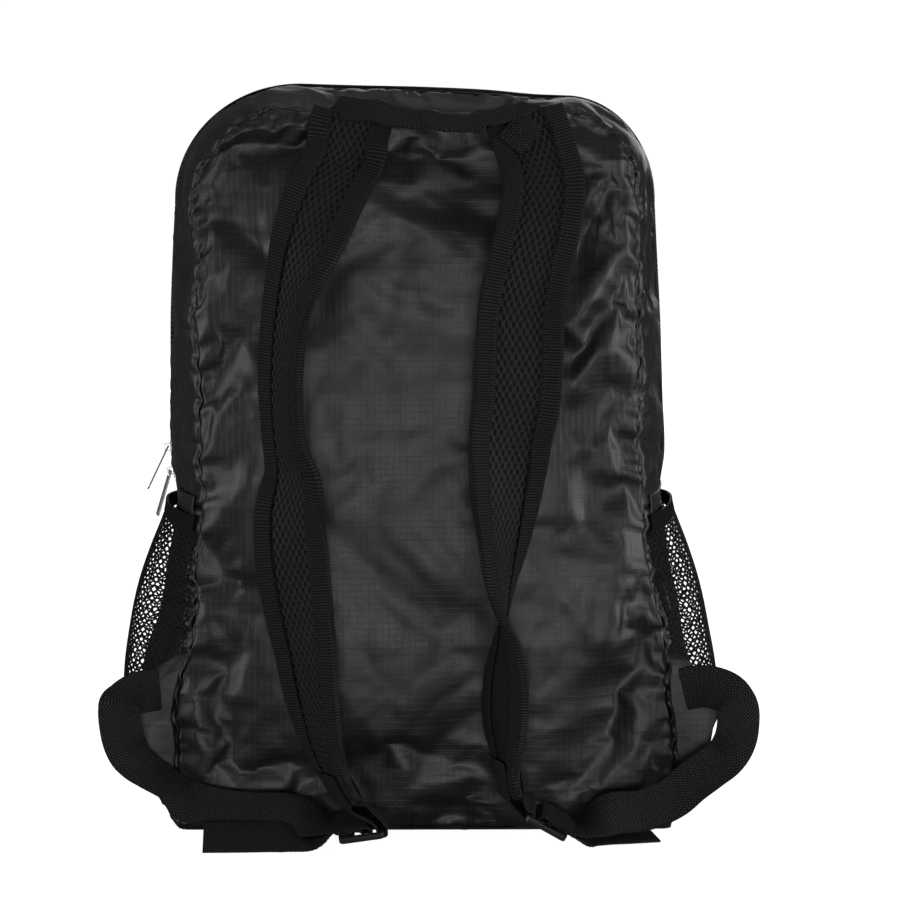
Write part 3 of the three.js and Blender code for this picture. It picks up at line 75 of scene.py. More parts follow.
# The zip
SEAM_GAP = 0.44
ZIP_TAPE_WIDTH = 22
ZIP_CHAIN_WIDTH = 5
ZIP_CHAIN_HEIGHT = 1.2
ZIP_PATCH_WIDTH = 12
ZIP_PATCH_THICKNESS = 1.2
TOOTH_PITCH = 1.5
COIL_SIDES = 5
FILLER_SIDES = 8

# The shoulder straps
STRAP_WIDTH = 50
STRAP_THICKNESS = 3.4
STRAP_STANDOFF = 26
STRAP_CAD_STEPS = 21
BINDING_LAP = 12
BINDING_THICKNESS = 0.9
BINDING_BEND = 1.6
TUCK_BEND = 1.4
PAD_PRESS = 0.9
PAD_UNDER = 0.8
PAD_CROWN = 0.5
MESH_PITCHES = (4.1, 3.7)
HOLE_SHARES = (0.52, 0.74)
HOLE_SIDES = 12
MESH_RISE = 0.2
MESH_DEPTH = 0.9
STITCH_INSET = 1.6

# The webbing, its adjusters and the tabs that hold it
WEBBING_WIDTH = 25
WEBBING_THICKNESS = 1.3
RIB_PITCH = 2.1
RIB_DEPTH = 0.2
LOCK_BAR = 3.2
LOCK_SLOT = 5.6
LOCK_THUMB_PLATE = 6
LOCK_THICKNESS = 3.2
LOCK_RAIL = 3.4
LOCK_LENGTH = 3 * LOCK_BAR + 2 * LOCK_SLOT + LOCK_THUMB_PLATE
LOCK_INSIDE = WEBBING_WIDTH + 2
LOCK_ROUNDING = 0.9
METAL_ROUNDING = 0.22
WING_REACH = 30
WING_THICKNESS = 0.9
WING_GAP = 1.1

# Sewing thread
STITCH_PITCH = 3.4
STITCH_LENGTH = 2.5
STITCH_WIDTH = 0.8
STITCH_HEIGHT = 0.3

# The cloth's grid and yarns, and the painted shade between the yarns of tapes and webbing
GRID_PITCH = 3.7
YARN_PITCH = 0.9
PAINTED_YARN_SHADE = "#020203"

# The haul handle and the side pockets
HANDLE_WIDTH = 20
HANDLE_THICKNESS = 1.8
HANDLE_SPAN = 114
HANDLE_MIDDLE = 7
HANDLE_STANDOFF = 22
HANDLE_SAG = 4.4
HANDLE_LEANS = (38, 18)
HANDLE_END_FROM = 2
HANDLE_END_TO = 17
HANDLE_END_SHIFT = -11
HANDLE_END_SLANT = 0.6
HANDLE_END_ACROSS = np.array([0.95, 0, 0.3])
POCKET_FLOOR = 24
POCKET_TOP = 182
POCKET_HEIGHT = POCKET_TOP - POCKET_FLOOR
POCKET_BULGE = 12
NET_CELL = 3.2
NET_ROW = 0.87 * NET_CELL
NET_SPAN = 140
NET_THREAD = 0.95
ELASTIC_WIDTH = 9
ELASTIC_THICKNESS = 1.3
ELASTIC_RIB = 1.6
ELASTIC_RIB_DEPTH = 0.18

# Steps of the solid body that its shares are counted in
COLUMNS = 14
ROWS = 24
CORNER_STEPS = 3
TAPE_FROM = 3
TAPE_TO = 5
DEPTH_STEPS = 8
ZIP_MIDDLE = 4
ZIP_END_ROW = 11
BAND_REACH = 2 * ROWS + COLUMNS
POCKET_FROM = 0.15
POCKET_TO = DEPTH_STEPS - POCKET_FROM


def table(names, *rows):
    """Rows as dictionaries, from the names of their columns and their values."""
    return [dict(zip(names.split(), row)) for row in rows]


# Half widths by height, as shares of half the pack's width, for the seams and for the zip.
FLANKS = table(
    "rise seam_left seam_right zip_left zip_right",
    (0.007, 0.975, 1.01, 1.06, 1.07),
    (0.06, 0.98, 1.03, 1.135, 1.14),
    (0.12, 0.983, 1.02, 1.143, 1.15),
    (0.18, 0.983, 1.0, 1.143, 1.143),
    (0.25, 0.93, 0.985, 1.11, 1.1),
    (0.32, 0.9, 0.945, 1.07, 1.06),
    (0.4, 0.885, 0.905, 1.005, 1.0),
    (0.44, 0.88, 0.89, 0.985, 0.975),
    (0.5, 0.877, 0.88, 1.01, 0.995),
    (0.57, 0.877, 0.87, 1.012, 0.986),
    (0.68, 0.892, 0.871, 1.01, 0.973),
    (0.78, 0.89, 0.864, 0.997, 0.956),
    (0.84, 0.898, 0.871, 0.986, 0.946))

# Top corners: reach is a share of half the pack's width, start and top are shares of its height.
CORNERS = {
    "back": {"start": 0.84, -1: {"reach": 0.41, "top": 0.974}, 1: {"reach": 0.3, "top": 0.974}},
    "zip": {"start": 0.845, -1: {"reach": 0.5, "top": 1.0}, 1: {"reach": 0.36, "top": 0.984}},
    "front": {"start": 0.82, -1: {"reach": 0.46, "top": 0.962}, 1: {"reach": 0.4, "top": 0.958}},
}

# Dips of the top edges between the corners, as shares of the pack's height.
TOP_DIPS = table(
    "along back zip front",
    (0, 0, 0, 0),
    (0.2, 0.004, -0.001, -0.002),
    (0.45, 0.011, -0.003, -0.004),
    (0.7, 0.012, -0.003, -0.003),
    (0.88, 0.003, 0, -0.001),
    (1, 0, 0, 0))

# Depths of the two panels' seams from the zip's plane, as shares of the pack's depth.
DEPTHS = table(
    "rise back front",
    (0, 0.45, 0.37),
    (0.2, 0.462, 0.375),
    (0.45, 0.43, 0.345),
    (0.7, 0.4, 0.32),
    (0.95, 0.375, 0.285),
    (1, 0.37, 0.28))

# Folds of each face. across runs from -1 to 1 and rise from 0 to 1 over the face, spread is a
# share of the pack's width, and swell is a share of the fold height, less than 0 for a dent.
BACK_FOLDS = table(
    "across rise to_across to_rise spread swell",
    (0.93, 0.83, 0.6, 0.69, 0.045, 1.0),
    (0.9, 0.765, 0.6, 0.64, 0.035, -0.8),
    (0.95, 0.735, 0.62, 0.62, 0.04, 0.7),
    (0.9, 0.95, 0.68, 0.86, 0.04, 0.9),
    (0.8, 0.9, 0.62, 0.8, 0.035, -0.8),
    (-0.86, 0.94, -0.5, 0.93, 0.035, -1.0),
    (-0.9, 0.86, -0.66, 0.79, 0.035, -0.8),
    (-0.3, 0.94, 0.35, 0.94, 0.07, -1.3),
    (-0.95, 0.56, -0.82, 0.6, 0.05, 0.7),
    (-0.95, 0.43, -0.75, 0.48, 0.05, 0.8),
    (-0.92, 0.39, -0.78, 0.33, 0.045, -0.8),
    (0.9, 0.36, 0.72, 0.27, 0.05, 0.8),
    (0.9, 0.27, 0.72, 0.14, 0.045, -0.9),
    (-0.92, 0.2, -0.92, 0.09, 0.04, 0.8),
    (-0.82, 0.26, -0.78, 0.1, 0.05, -0.7),
    (0.12, 0.3, 0.2, 0.15, 0.08, -0.7))
FRONT_FOLDS = table(
    "across rise to_across to_rise spread swell",
    (-0.7, 0.9, -0.3, 0.7, 0.06, -0.9),
    (0.75, 0.88, 0.4, 0.72, 0.06, -0.8),
    (-0.85, 0.5, -0.45, 0.44, 0.07, -0.8),
    (0.85, 0.46, 0.4, 0.5, 0.07, -0.9),
    (-0.6, 0.1, -0.35, 0.26, 0.07, -0.8),
    (0.6, 0.08, 0.3, 0.24, 0.07, -0.9))
# Dents of the band round the flanks and the top: rise is -1 at the left base and 1 at the right
# base, through 0 at the top, and across runs from -1 at the back to 1 at the front.
BAND_FOLDS = table(
    "across rise to_across to_rise spread swell",
    (-0.7, -0.38, -0.4, -0.3, 0.05, -0.8),
    (-0.6, 0.4, -0.45, 0.32, 0.05, -0.8),
    (0.6, -0.3, 0.45, -0.22, 0.05, -0.8),
    (0.65, 0.3, 0.5, 0.2, 0.05, -0.8),
    (-0.6, -0.06, -0.55, 0.06, 0.05, -0.6))

# Shoulder straps from the top seam down. rise is a share of the pack's height, across a share of
# half its width, out a share of the stand-off, and width a share of the strap's width. roll turns
# the strap about its length, in degrees, its right edge outwards, and cup is the depth of its
# hollow as a share of its width.
STRAP_COLUMNS = "rise across out roll cup width"
STRAPS = {
    "left": table(
        STRAP_COLUMNS,
        (0.966, -0.262, 0.1, 0, 0, 0.94),
        (0.944, -0.28, 0.17, 0, 0, 0.94),
        (0.912, -0.295, 0.3, 0, 0, 0.94),
        (0.86, -0.375, 0.72, 5, 0.03, 0.94),
        (0.797, -0.45, 0.98, 30, 0.07, 0.96),
        (0.73, -0.517, 1.05, 55, 0.1, 0.98),
        (0.665, -0.545, 1.05, 60, 0.1, 1),
        (0.6, -0.55, 1.02, 62, 0.08, 1),
        (0.535, -0.53, 1, 60, 0.06, 1),
        (0.495, -0.505, 0.98, 50, 0.05, 1),
        (0.44, -0.515, 0.98, 34, 0.04, 0.98),
        (0.385, -0.505, 0.98, 26, 0.03, 0.96),
        (0.33, -0.485, 0.98, 30, 0.03, 0.94),
        (0.265, -0.455, 1, 38, 0.04, 0.92),
        (0.2, -0.43, 1, 46, 0.05, 0.9),
        (0.135, -0.385, 1, 58, 0, 0.88),
        (0.092, -0.335, 1, 65, 0, 0.84),
        (0.064, -0.285, 1, 65, 0, 0.76)),
    "right": table(
        STRAP_COLUMNS,
        (0.966, 0.41, 0.1, 0, 0, 0.94),
        (0.946, 0.43, 0.17, 0, 0, 0.94),
        (0.915, 0.46, 0.32, 0, 0, 0.94),
        (0.875, 0.485, 0.6, 0, 0.02, 0.95),
        (0.825, 0.465, 0.9, 2, 0.03, 0.96),
        (0.777, 0.43, 1, 4, 0.04, 0.97),
        (0.716, 0.395, 1.05, 4, 0.05, 1),
        (0.652, 0.385, 1.05, 0, 0.04, 1.02),
        (0.595, 0.375, 1.03, -4, 0.04, 1.02),
        (0.55, 0.355, 1, -14, 0.05, 1),
        (0.5, 0.345, 1, -28, 0.06, 1),
        (0.43, 0.335, 0.98, -48, 0.05, 0.98),
        (0.37, 0.325, 0.97, -66, 0.03, 0.96),
        (0.32, 0.33, 0.96, -84, 0.02, 0.94),
        (0.275, 0.345, 0.95, -104, 0.02, 0.92),
        (0.22, 0.34, 0.95, -118, 0.04, 0.92),
        (0.165, 0.33, 0.97, -118, 0.01, 0.9),
        (0.12, 0.335, 0.98, -107, 0, 0.88),
        (0.09, 0.345, 1, -103, 0, 0.84),
        (0.075, 0.36, 1, -103, 0, 0.76)),
}

# Middles of the strap adjusters, and the way each one lies.
LOCKS = {
    "left": {"across": -0.235, "rise": 0.026, "out": 1.04, "side": -1, "slope": 8, "lean": 11},
    "right": {"across": 0.5, "rise": 0.036, "out": 1.02, "side": 1, "slope": 30, "lean": 9},
}

# Adjusting webbing from its tab to the adjuster. lean, toward and up are the webbing's width
# direction, to the pack's middle, towards the front panel and upwards.
WEBBING_COLUMNS = "across rise out lean toward up"
WEBBING_RUNS = {
    "left": table(
        WEBBING_COLUMNS,
        (1.04, 0.202, 0.19, -0.5, -0.05, -0.87),
        (1.11, 0.2, 0.28, 0, -0.35, -0.93),
        (1.18, 0.192, 0.5, 0.7, -0.5, -0.5),
        (1.196, 0.187, 0.57, 0.84, -0.36, -0.42),
        (1.197, 0.18, 0.62, 0.92, -0.2, -0.3),
        (1.192, 0.163, 0.72, 0.98, -0.05, -0.1),
        (1.175, 0.137, 0.78, 0.97, 0.1, -0.1),
        (1.14, 0.114, 0.74, 0.8, 0.55, 0.05),
        (1.08, 0.096, 0.66, 0.6, 0.72, 0.3),
        (1.005, 0.078, 0.6, 0.3, 0.8, 0.5),
        (0.935, 0.056, 0.58, 0.15, 0.4, 0.9),
        (0.81, 0.043, 0.6, 0.08, 0.08, 1),
        (0.67, 0.039, 0.7, 0, 0.05, 1),
        (0.54, 0.039, 0.82, 0, 0.3, 0.95)),
    "right": table(
        WEBBING_COLUMNS,
        (1.05, 0.2, 0.19, -0.5, -0.05, -0.87),
        (1.13, 0.206, 0.26, -0.25, -0.2, -0.93),
        (1.215, 0.2, 0.42, 0.3, -0.35, -0.85),
        (1.25, 0.19, 0.56, 0.75, -0.35, -0.5),
        (1.262, 0.181, 0.63, 0.92, -0.25, -0.3),
        (1.262, 0.163, 0.74, 0.98, -0.05, -0.1),
        (1.25, 0.14, 0.8, 0.97, 0.15, 0.1),
        (1.215, 0.118, 0.8, 0.75, 0.4, 0.5),
        (1.15, 0.1, 0.78, 0.4, 0.25, 0.9),
        (1.075, 0.08, 0.76, 0.25, 0.1, 0.96),
        (1.0, 0.058, 0.76, 0.15, 0.05, 1),
        (0.88, 0.043, 0.85, 0.05, 0.08, 1),
        (0.76, 0.041, 0.98, 0, 0.3, 0.95)),
}
WEBBING_TAILS = {
    "left": table(
        WEBBING_COLUMNS,
        (0.42, 0.011, 1.3, 0, 0.98, 0.12),
        (0.55, 0.0165, 1.42, 0, 0.88, 0.48),
        (0.7, 0.0165, 1.44, 0, 0.88, 0.48),
        (0.86, 0.0165, 1.46, 0, 0.88, 0.48)),
    "right": table(
        WEBBING_COLUMNS,
        (0.67, 0.0075, 0.95, 0, 1, 0.02),
        (0.78, 0.0042, 0.78, 0, 1, 0),
        (0.94, 0.0042, 0.62, 0, 1, 0)),
}

# Cloth tabs in the lower side seams: reach is a share of the tabs' greatest reach.
WINGS = table(
    "rise reach",
    (0.256, 0.03),
    (0.236, 0.42),
    (0.213, 0.74),
    (0.189, 1),
    (0.155, 0.8),
    (0.12, 0.55),
    (0.08, 0.28),
    (0.045, 0.05))

# Stand-off of the nets and of their mouths from the flank, as shares of the pockets' bulge.
NET_SWELL = table(
    "up out",
    (0, 0.05),
    (0.12, 0.6),
    (0.35, 0.95),
    (0.6, 1.05),
    (0.85, 0.85),
    (1, 0.6))


# Crumples of the cloth: the size of each kind in millimetres, how many cross, and their depth.
PANEL_CRUMPLES = [(62, 26, 3.2), (30, 30, 1.7), (15, 36, 0.6)]
GUSSET_CRUMPLES = [(34, 24, 2.2), (15, 24, 0.8)]
FLANK_CRUMPLES = [(40, 24, 2.2), (16, 24, 0.8)]


def mix(low, high, share):
    """A value at a share of the way between two others."""
    return low + (high - low) * share


def spread_mix(low, high, share):
    """Points at shares of the way between two others."""
    return low + (high - low) * np.asarray(share)[..., None]


def unit(vectors):
    vectors = np.asarray(vectors, float)
    return vectors / np.linalg.norm(vectors, axis=-1, keepdims=True)


def column(rows, key, name, at):
    """A table's column at given keys, smoothed through its rows."""
    keys = np.array([row[key] for row in rows], float)
    values = np.array([row[name] for row in rows], float)
    at = np.clip(at, keys[0], keys[-1])
    i = np.clip(np.searchsorted(keys, at, side="right") - 1, 0, len(keys) - 2)
    before = np.maximum(i - 1, 0)
    after = np.minimum(i + 2, len(keys) - 1)
    span = keys[i + 1] - keys[i]
    start = (values[i + 1] - values[before]) / (keys[i + 1] - keys[before]) * span
    finish = (values[after] - values[i]) / (keys[after] - keys[i]) * span
    t = (at - keys[i]) / span
    return ((2 * t**3 - 3 * t**2 + 1) * values[i] + (t**3 - 2 * t**2 + t) * start
            + (3 * t**2 - 2 * t**3) * values[i + 1] + (t**3 - t**2) * finish)


# The camera stands where the photograph was taken from: level with the straps, slightly above.
camera_data = bpy.data.cameras.new("camera")
camera_data.sensor_width = 36
camera_data.lens = 132.2
camera = bpy.data.objects.new("camera", camera_data)
bpy.context.scene.collection.objects.link(camera)
camera_aim = Vector((0.018, 0, 0.219))
camera.location = (0, -1.98054, 0.49735)
camera.rotation_euler = (camera_aim - camera.location).to_track_quat("-Z", "Y").to_euler()
bpy.context.scene.camera = camera


# The zip's own line, the panels' seams and the band between them, as in the solid body.
def half_width(seam, sign, rise):
    """How far a seam lies to one side at shares of the height, as a share of half the width."""
    name = ("zip" if seam == "zip" else "seam") + ("_left" if sign < 0 else "_right")
    return column(FLANKS, "rise", name, rise)


def corner_arc(seam, sign, angle):
    """Points of a top corner's arc, at angles up from the flank."""
    start = CORNERS[seam]["start"]
    arc = CORNERS[seam][sign]
    edge = half_width(seam, sign, start)
    turn = np.radians(angle)
    share = edge - arc["reach"] * (1 - np.cos(turn))
    return sign * HALF_WIDTH * share, PACK_HEIGHT * mix(start, arc["top"], np.sin(turn))


def flank_line(seam, sign, row):
    """A seam's points up one flank, at rows of the solid body."""
    straight = ROWS - CORNER_STEPS
    base = BASE_SEAM_HEIGHT / PACK_HEIGHT
    rise = mix(base, CORNERS[seam]["start"], np.minimum(row / straight, 1))
    x = sign * HALF_WIDTH * half_width(seam, sign, rise)
    arc_x, arc_z = corner_arc(seam, sign, np.maximum(row - straight, 0) / CORNER_STEPS * 45)
    on_arc = row > straight
    return np.where(on_arc, arc_x, x), np.where(on_arc, arc_z, rise * PACK_HEIGHT)


def top_line(seam, step):
    """A seam's points over the top, at columns of the solid body."""
    from_right = COLUMNS - step
    left_x, left_z = corner_arc(seam, -1, 45 + np.minimum(step / CORNER_STEPS, 1) * 45)
    right_x, right_z = corner_arc(seam, 1, 45 + np.minimum(from_right / CORNER_STEPS, 1) * 45)
    along = np.clip((step - CORNER_STEPS) / (COLUMNS - 2 * CORNER_STEPS), 0, 1)
    dip = column(TOP_DIPS, "along", seam, along) * PACK_HEIGHT
    at_left = step <= CORNER_STEPS
    at_right = from_right <= CORNER_STEPS
    x = np.where(at_left, left_x, np.where(at_right, right_x, mix(left_x, right_x, along)))
    z = np.where(at_left, left_z, np.where(at_right, right_z, mix(left_z, right_z, along) - dip))
    return x, z


def seam_line(seam, walked):
    """A seam's points at steps walked from the left base over the top to the right base. The
    panels' seams wander a little, as sewn cloth does, and the zip runs true."""
    left = flank_line(seam, -1, np.clip(walked, 0, ROWS))
    right = flank_line(seam, 1, np.clip(BAND_REACH - walked, 0, ROWS))
    top = top_line(seam, np.clip(walked - ROWS, 0, COLUMNS))
    on_left = walked <= ROWS
    on_right = walked >= ROWS + COLUMNS
    x, z = (np.where(on_left, a, np.where(on_right, b, c)) for a, b, c in zip(left, right, top))
    if seam == "zip":
        return x, z
    waves = np.sin(1.5 * walked + 0.6) + 0.7 * np.sin(3.7 * walked) + 0.4 * np.sin(7.9 * walked + 2)
    wander = SEAM_WANDER * waves * np.clip(np.minimum(walked, BAND_REACH - walked) / 4, 0, 1)
    away = np.hypot(x, z - PACK_HEIGHT / 2)
    return x + wander * x / away, z + wander * (z - PACK_HEIGHT / 2) / away


def band_share(steps, depth):
    """Shares of the band's turn from a panel's seam to the zip, at depth steps of the solid body."""
    tape = 1 - ZIP_TAPE_WIDTH / 2 / depth
    past = (steps - TAPE_FROM) / (ZIP_MIDDLE - TAPE_FROM)
    return np.where(steps <= TAPE_FROM, steps / TAPE_FROM * tape, mix(tape, 1, past))


def band_point(walked, step):
    """Points of the band between the two panels, by steps along it and through its depth."""
    walked, step = np.broadcast_arrays(np.asarray(walked, float), np.asarray(step, float))
    to_front = step > ZIP_MIDDLE
    back_x, back_z = seam_line("back", walked)
    front_x, front_z = seam_line("front", walked)
    zip_x, zip_z = seam_line("zip", walked)
    edge_x = np.where(to_front, front_x, back_x)
    edge_z = np.where(to_front, front_z, back_z)
    share_back = column(DEPTHS, "rise", "back", edge_z / PACK_HEIGHT)
    share_front = column(DEPTHS, "rise", "front", edge_z / PACK_HEIGHT)
    depth = PACK_DEPTH * np.where(to_front, share_front, share_back)
    steps = np.where(to_front, DEPTH_STEPS - step, step)
    turn = band_share(steps, depth) * np.pi / 2
    outward = np.sin(turn)
    away = mix(1 - turn / (np.pi / 2), np.cos(turn), BAND_ROUNDNESS)
    y = np.where(to_front, 1, -1) * depth * away
    return np.stack([mix(edge_x, zip_x, outward), y, mix(edge_z, zip_z, outward)], axis=-1)


def fold_height(folds, across, rise, size):
    """The sum of a face's folds at places of it."""
    height = np.zeros(np.broadcast(across, rise).shape)
    for fold in folds:
        start = np.array([fold["across"] * size[0], fold["rise"] * size[1]])
        line = np.array([fold["to_across"] * size[0], fold["to_rise"] * size[1]]) - start
        here = np.stack(np.broadcast_arrays(across * size[0], rise * size[1]), axis=-1) - start
        along = np.clip(here @ line / (line @ line), 0, 1)
        away = np.linalg.norm(here - along[..., None] * line, axis=-1) / (fold["spread"] * PACK_WIDTH)
        height += fold["swell"] * FOLD_HEIGHT * np.exp(-away ** FOLD_SHARPNESS)
    return height


def crumple(across, up, seed, size, waves):
    """Scattered soft ridges, as thin coated nylon keeps from being packed small."""
    chance = np.random.RandomState(seed)
    height = np.zeros(np.broadcast(across, up).shape)
    for _ in range(waves):
        turn = chance.uniform(0, np.pi)
        length = size * chance.uniform(0.6, 1.7)
        phase = chance.uniform(0, 2 * np.pi, 4)
        along = across * np.cos(turn) + up * np.sin(turn)
        side = up * np.cos(turn) - across * np.sin(turn)
        bend = 0.3 * length * np.sin(side / (0.9 * length) + phase[0])
        ridge = 1 - np.abs(np.sin(np.pi * (along + bend) / length + phase[1]))
        patch = np.sin(side / (1.3 * length) + phase[2]) * np.sin(along / (2.2 * length) + phase[3])
        height += chance.choice([-1, 1]) * ridge ** 1.6 * np.clip(patch, 0, 1)
    return height / math.sqrt(waves)


def pillow(share):
    """The swell of stuffed cloth between two seams: 0 at both and 1 halfway."""
    return 1 - np.abs(2 * share - 1) ** PANEL_FULLNESS


def from_edges(u, w):
    """How far a place lies from the nearest edge of a sheet, as a share of its side."""
    return np.minimum(np.minimum(u, 1 - u), np.minimum(w, 1 - w))


def panel_point(side, u, w):
    """Points of the back or the front panel, between its four seams."""
    step = 0 if side < 0 else DEPTH_STEPS
    left = band_point(w * ROWS, step)
    right = band_point(BAND_REACH - w * ROWS, step)
    top = band_point(ROWS + u * COLUMNS, step)
    base_left, base_right = band_point(0, step), band_point(BAND_REACH, step)
    top_left, top_right = band_point(ROWS, step), band_point(ROWS + COLUMNS, step)
    base = spread_mix(base_left, base_right, u)
    across = spread_mix(left, right, u)
    corners = spread_mix(base, spread_mix(top_left, top_right, u), w)
    points = spread_mix(base, top, w) + across - corners
    bulge = (BACK_BULGE if side < 0 else FRONT_BULGE) * pillow(u) * pillow(w * 0.94 + 0.03)
    folds = BACK_FOLDS if side < 0 else FRONT_FOLDS
    fold = fold_height(folds, 2 * u - 1, w, (HALF_WIDTH, PACK_HEIGHT))
    points[..., 1] += side * (bulge + fold * np.minimum(1, 6 * from_edges(u, w)))
    return points


def grid_normals(points):
    """Directions square to a grid of points."""
    down, over = np.gradient(points, axis=0), np.gradient(points, axis=1)
    return unit(np.cross(over, down))


def facing_away(points, directions):
    """Directions turned so that each one leads away from the middle of the body."""
    return directions * np.sign(np.sum(directions * (points - BODY_MIDDLE), axis=-1, keepdims=True))


def between(at, keys, vectors):
    """Vectors at places between the keys that they belong to."""
    return np.stack([np.interp(at, keys, vectors[:, n]) for n in range(3)], axis=-1)


def walked_along(points):
    """The length walked along a route up to each of its points."""
    return np.concatenate([[0], np.cumsum(np.linalg.norm(np.diff(points, axis=0), axis=1))])


def arc_lengths(points, axis):
    """The length walked over a grid of points along one of its axes."""
    steps = np.linalg.norm(np.diff(points, axis=axis), axis=-1)
    pad = [(0, 0), (0, 0)]
    pad[axis] = (1, 0)
    return np.cumsum(np.pad(steps, pad), axis=axis)


def laid_flat(points):
    """Each point's place on the cloth: the lengths walked to it over the grid, both ways."""
    return np.stack([arc_lengths(points, 1), arc_lengths(points, 0)], axis=-1)


def near_ends(count, pull):
    """Shares from 0 to 1 that lie closer together near both ends, where seams are."""
    share = np.linspace(0, 1, count)
    return share - pull * np.sin(2 * np.pi * share) / (2 * np.pi)


def new_piece(name, corners, faces, material, uvs=None):
    """A mesh object from corners in millimetres, with a place on the cloth for each corner."""
    mesh = bpy.data.meshes.new(name)
    listed = faces.tolist() if isinstance(faces, np.ndarray) else faces
    mesh.from_pydata((np.asarray(corners) * MM).tolist(), [], listed)
    if uvs is None:
        uvs = np.zeros((len(corners), 2))
    corner_of_loop = np.empty(len(mesh.loops), dtype=np.int32)
    mesh.loops.foreach_get("vertex_index", corner_of_loop)
    layer = mesh.uv_layers.new(name="cloth")
    layer.data.foreach_set("uv", (uvs[corner_of_loop] * MM).astype(np.float32).ravel())
    mesh.shade_smooth()
    mesh.materials.append(material)
    piece = bpy.data.objects.new(name, mesh)
    bpy.context.scene.collection.objects.link(piece)
    return piece


def finish_piece(piece, slot, *nodes):
    """Ties a piece to the bag and hides the solids that it stands for; the slot is not used."""
    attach(piece, "bag")
    if nodes:
        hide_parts(*nodes)
    return piece


def grid_faces(rows, columns, start=0, flip=False):
    """Faces of a sheet whose rows of corners follow one another."""
    index = np.arange(rows * columns).reshape(rows, columns) + start
    quads = np.stack([index[:-1, :-1], index[:-1, 1:], index[1:, 1:], index[1:, :-1]], axis=-1)
    quads = quads.reshape(-1, 4)
    return quads[:, ::-1] if flip else quads


def tube_faces(rows, columns):
    """Faces of a tube whose rings of corners follow one another."""
    index = np.arange(rows * columns).reshape(rows, columns)
    ahead = np.roll(index, -1, axis=1)
    return np.stack([index[:-1], ahead[:-1], ahead[1:], index[1:]], axis=-1).reshape(-1, 4)


def faces_of_copies(faces, count, corners_each):
    """The faces of one small form, again for each of its copies."""
    faces = np.asarray(faces)
    return (np.arange(count)[:, None, None] * corners_each + faces).reshape(-1, faces.shape[1])


def closed_sheet(name, points, normals, thickness, material, uvs=None):
    """A thin closed sheet from a grid of points on its outer face, clear of the floor."""
    rows, columns = points.shape[:2]
    count = rows * columns
    if uvs is None:
        uvs = laid_flat(points)
    middle = (rows // 2, columns // 2)
    over = points[middle[0], middle[1] + 1] - points[middle]
    below = points[middle[0] + 1, middle[1]] - points[middle]
    flip = bool(np.cross(over, below) @ normals[middle] < 0)
    lowest = [-np.inf, -np.inf, SKIN_THICKNESS / 10]
    outer = np.maximum(points, lowest)
    inner = np.maximum(outer - normals * thickness, lowest)
    index = np.arange(count).reshape(rows, columns)
    rim = np.concatenate([index[0, :-1], index[:-1, -1], index[-1, :0:-1], index[:0:-1, 0]])
    ahead = np.roll(rim, -1)
    sides = np.stack([ahead, rim, rim + count, ahead + count], axis=-1)
    faces = [grid_faces(rows, columns, 0, flip), grid_faces(rows, columns, count, not flip),
             sides[:, ::-1] if flip else sides]
    flat = uvs.reshape(-1, 2)
    corners = np.concatenate([outer.reshape(-1, 3), inner.reshape(-1, 3)])
    return new_piece(name, corners, np.concatenate(faces), material, np.concatenate([flat, flat]))


MATH = "ShaderNodeMath"
MIX = "ShaderNodeMix"
RANGE = "ShaderNodeMapRange"
NOISE = "ShaderNodeTexNoise"
BUMP = "ShaderNodeBump"


def feed(tree, node, inputs):
    """Sets each input to a value, or links it to a socket or to a node's first live output."""
    for name, value in inputs.items():
        if isinstance(value, bpy.types.Node):
            value = next(output for output in value.outputs if output.enabled)
        if isinstance(value, bpy.types.NodeSocket):
            tree.links.new(value, node.inputs[name])
        else:
            node.inputs[name].default_value = value


def add_node(tree, kind, inputs=None, **settings):
    """Adds one shader node with its settings and its inputs."""
    node = tree.nodes.new(kind)
    for name, value in settings.items():
        setattr(node, name, value)
    feed(tree, node, inputs or {})
    return node


def colour(hex_value):
    """A linear colour from an sRGB hex value."""
    parts = [int(hex_value[i:i + 2], 16) / 255 for i in (1, 3, 5)]
    return [p / 12.92 if p <= 0.04045 else ((p + 0.055) / 1.055) ** 2.4 for p in parts] + [1]


def start_material(name, roughness, base, **sockets):
    """A material with its base values, its node tree and its shader."""
    material = bpy.data.materials.new(name)
    material.use_nodes = True
    material.diffuse_color = colour(base)
    tree = material.node_tree
    shader = tree.nodes["Principled BSDF"]
    feed(tree, shader, {"Base Color": colour(base), "Roughness": roughness})
    feed(tree, shader, {socket.replace("_", " "): value for socket, value in sockets.items()})
    return material, tree, shader


def cloth_place(tree):
    """The place on the cloth, across and along it, in metres."""
    spot = add_node(tree, "ShaderNodeUVMap", uv_map="cloth")
    parts = add_node(tree, "ShaderNodeSeparateXYZ", {"Vector": spot.outputs["UV"]})
    return spot.outputs["UV"], parts.outputs["X"], parts.outputs["Y"]


def repeated(tree, place, pitch, shift=0.0):
    """A triangle wave of the given pitch in millimetres: 0 on each line and 1 halfway."""
    half = pitch * MM / 2
    moved = add_node(tree, MATH, {0: place, 1: (shift + 100 * pitch) * MM}, operation="ADD")
    wave = add_node(tree, MATH, {0: moved, 1: half}, operation="PINGPONG")
    return add_node(tree, MATH, {0: wave, 1: 1 / half}, operation="MULTIPLY")


def woven(tree, across, along, pitch, shift=0.0):
    """Raised dots of a plain weave, where the yarns of both ways lie on top."""
    ways = {0: repeated(tree, across, pitch, shift), 1: repeated(tree, along, pitch, shift)}
    return add_node(tree, MATH, ways, operation="MULTIPLY")


def thick_yarns(tree, place, pitch, width):
    """1 on repeated lines of the given width, as a share of half the pitch, and 0 off them."""
    wave = repeated(tree, place, pitch)
    return add_node(tree, RANGE, {"Value": wave, "From Min": width, "From Max": width * 0.4},
                    interpolation_type="SMOOTHSTEP")


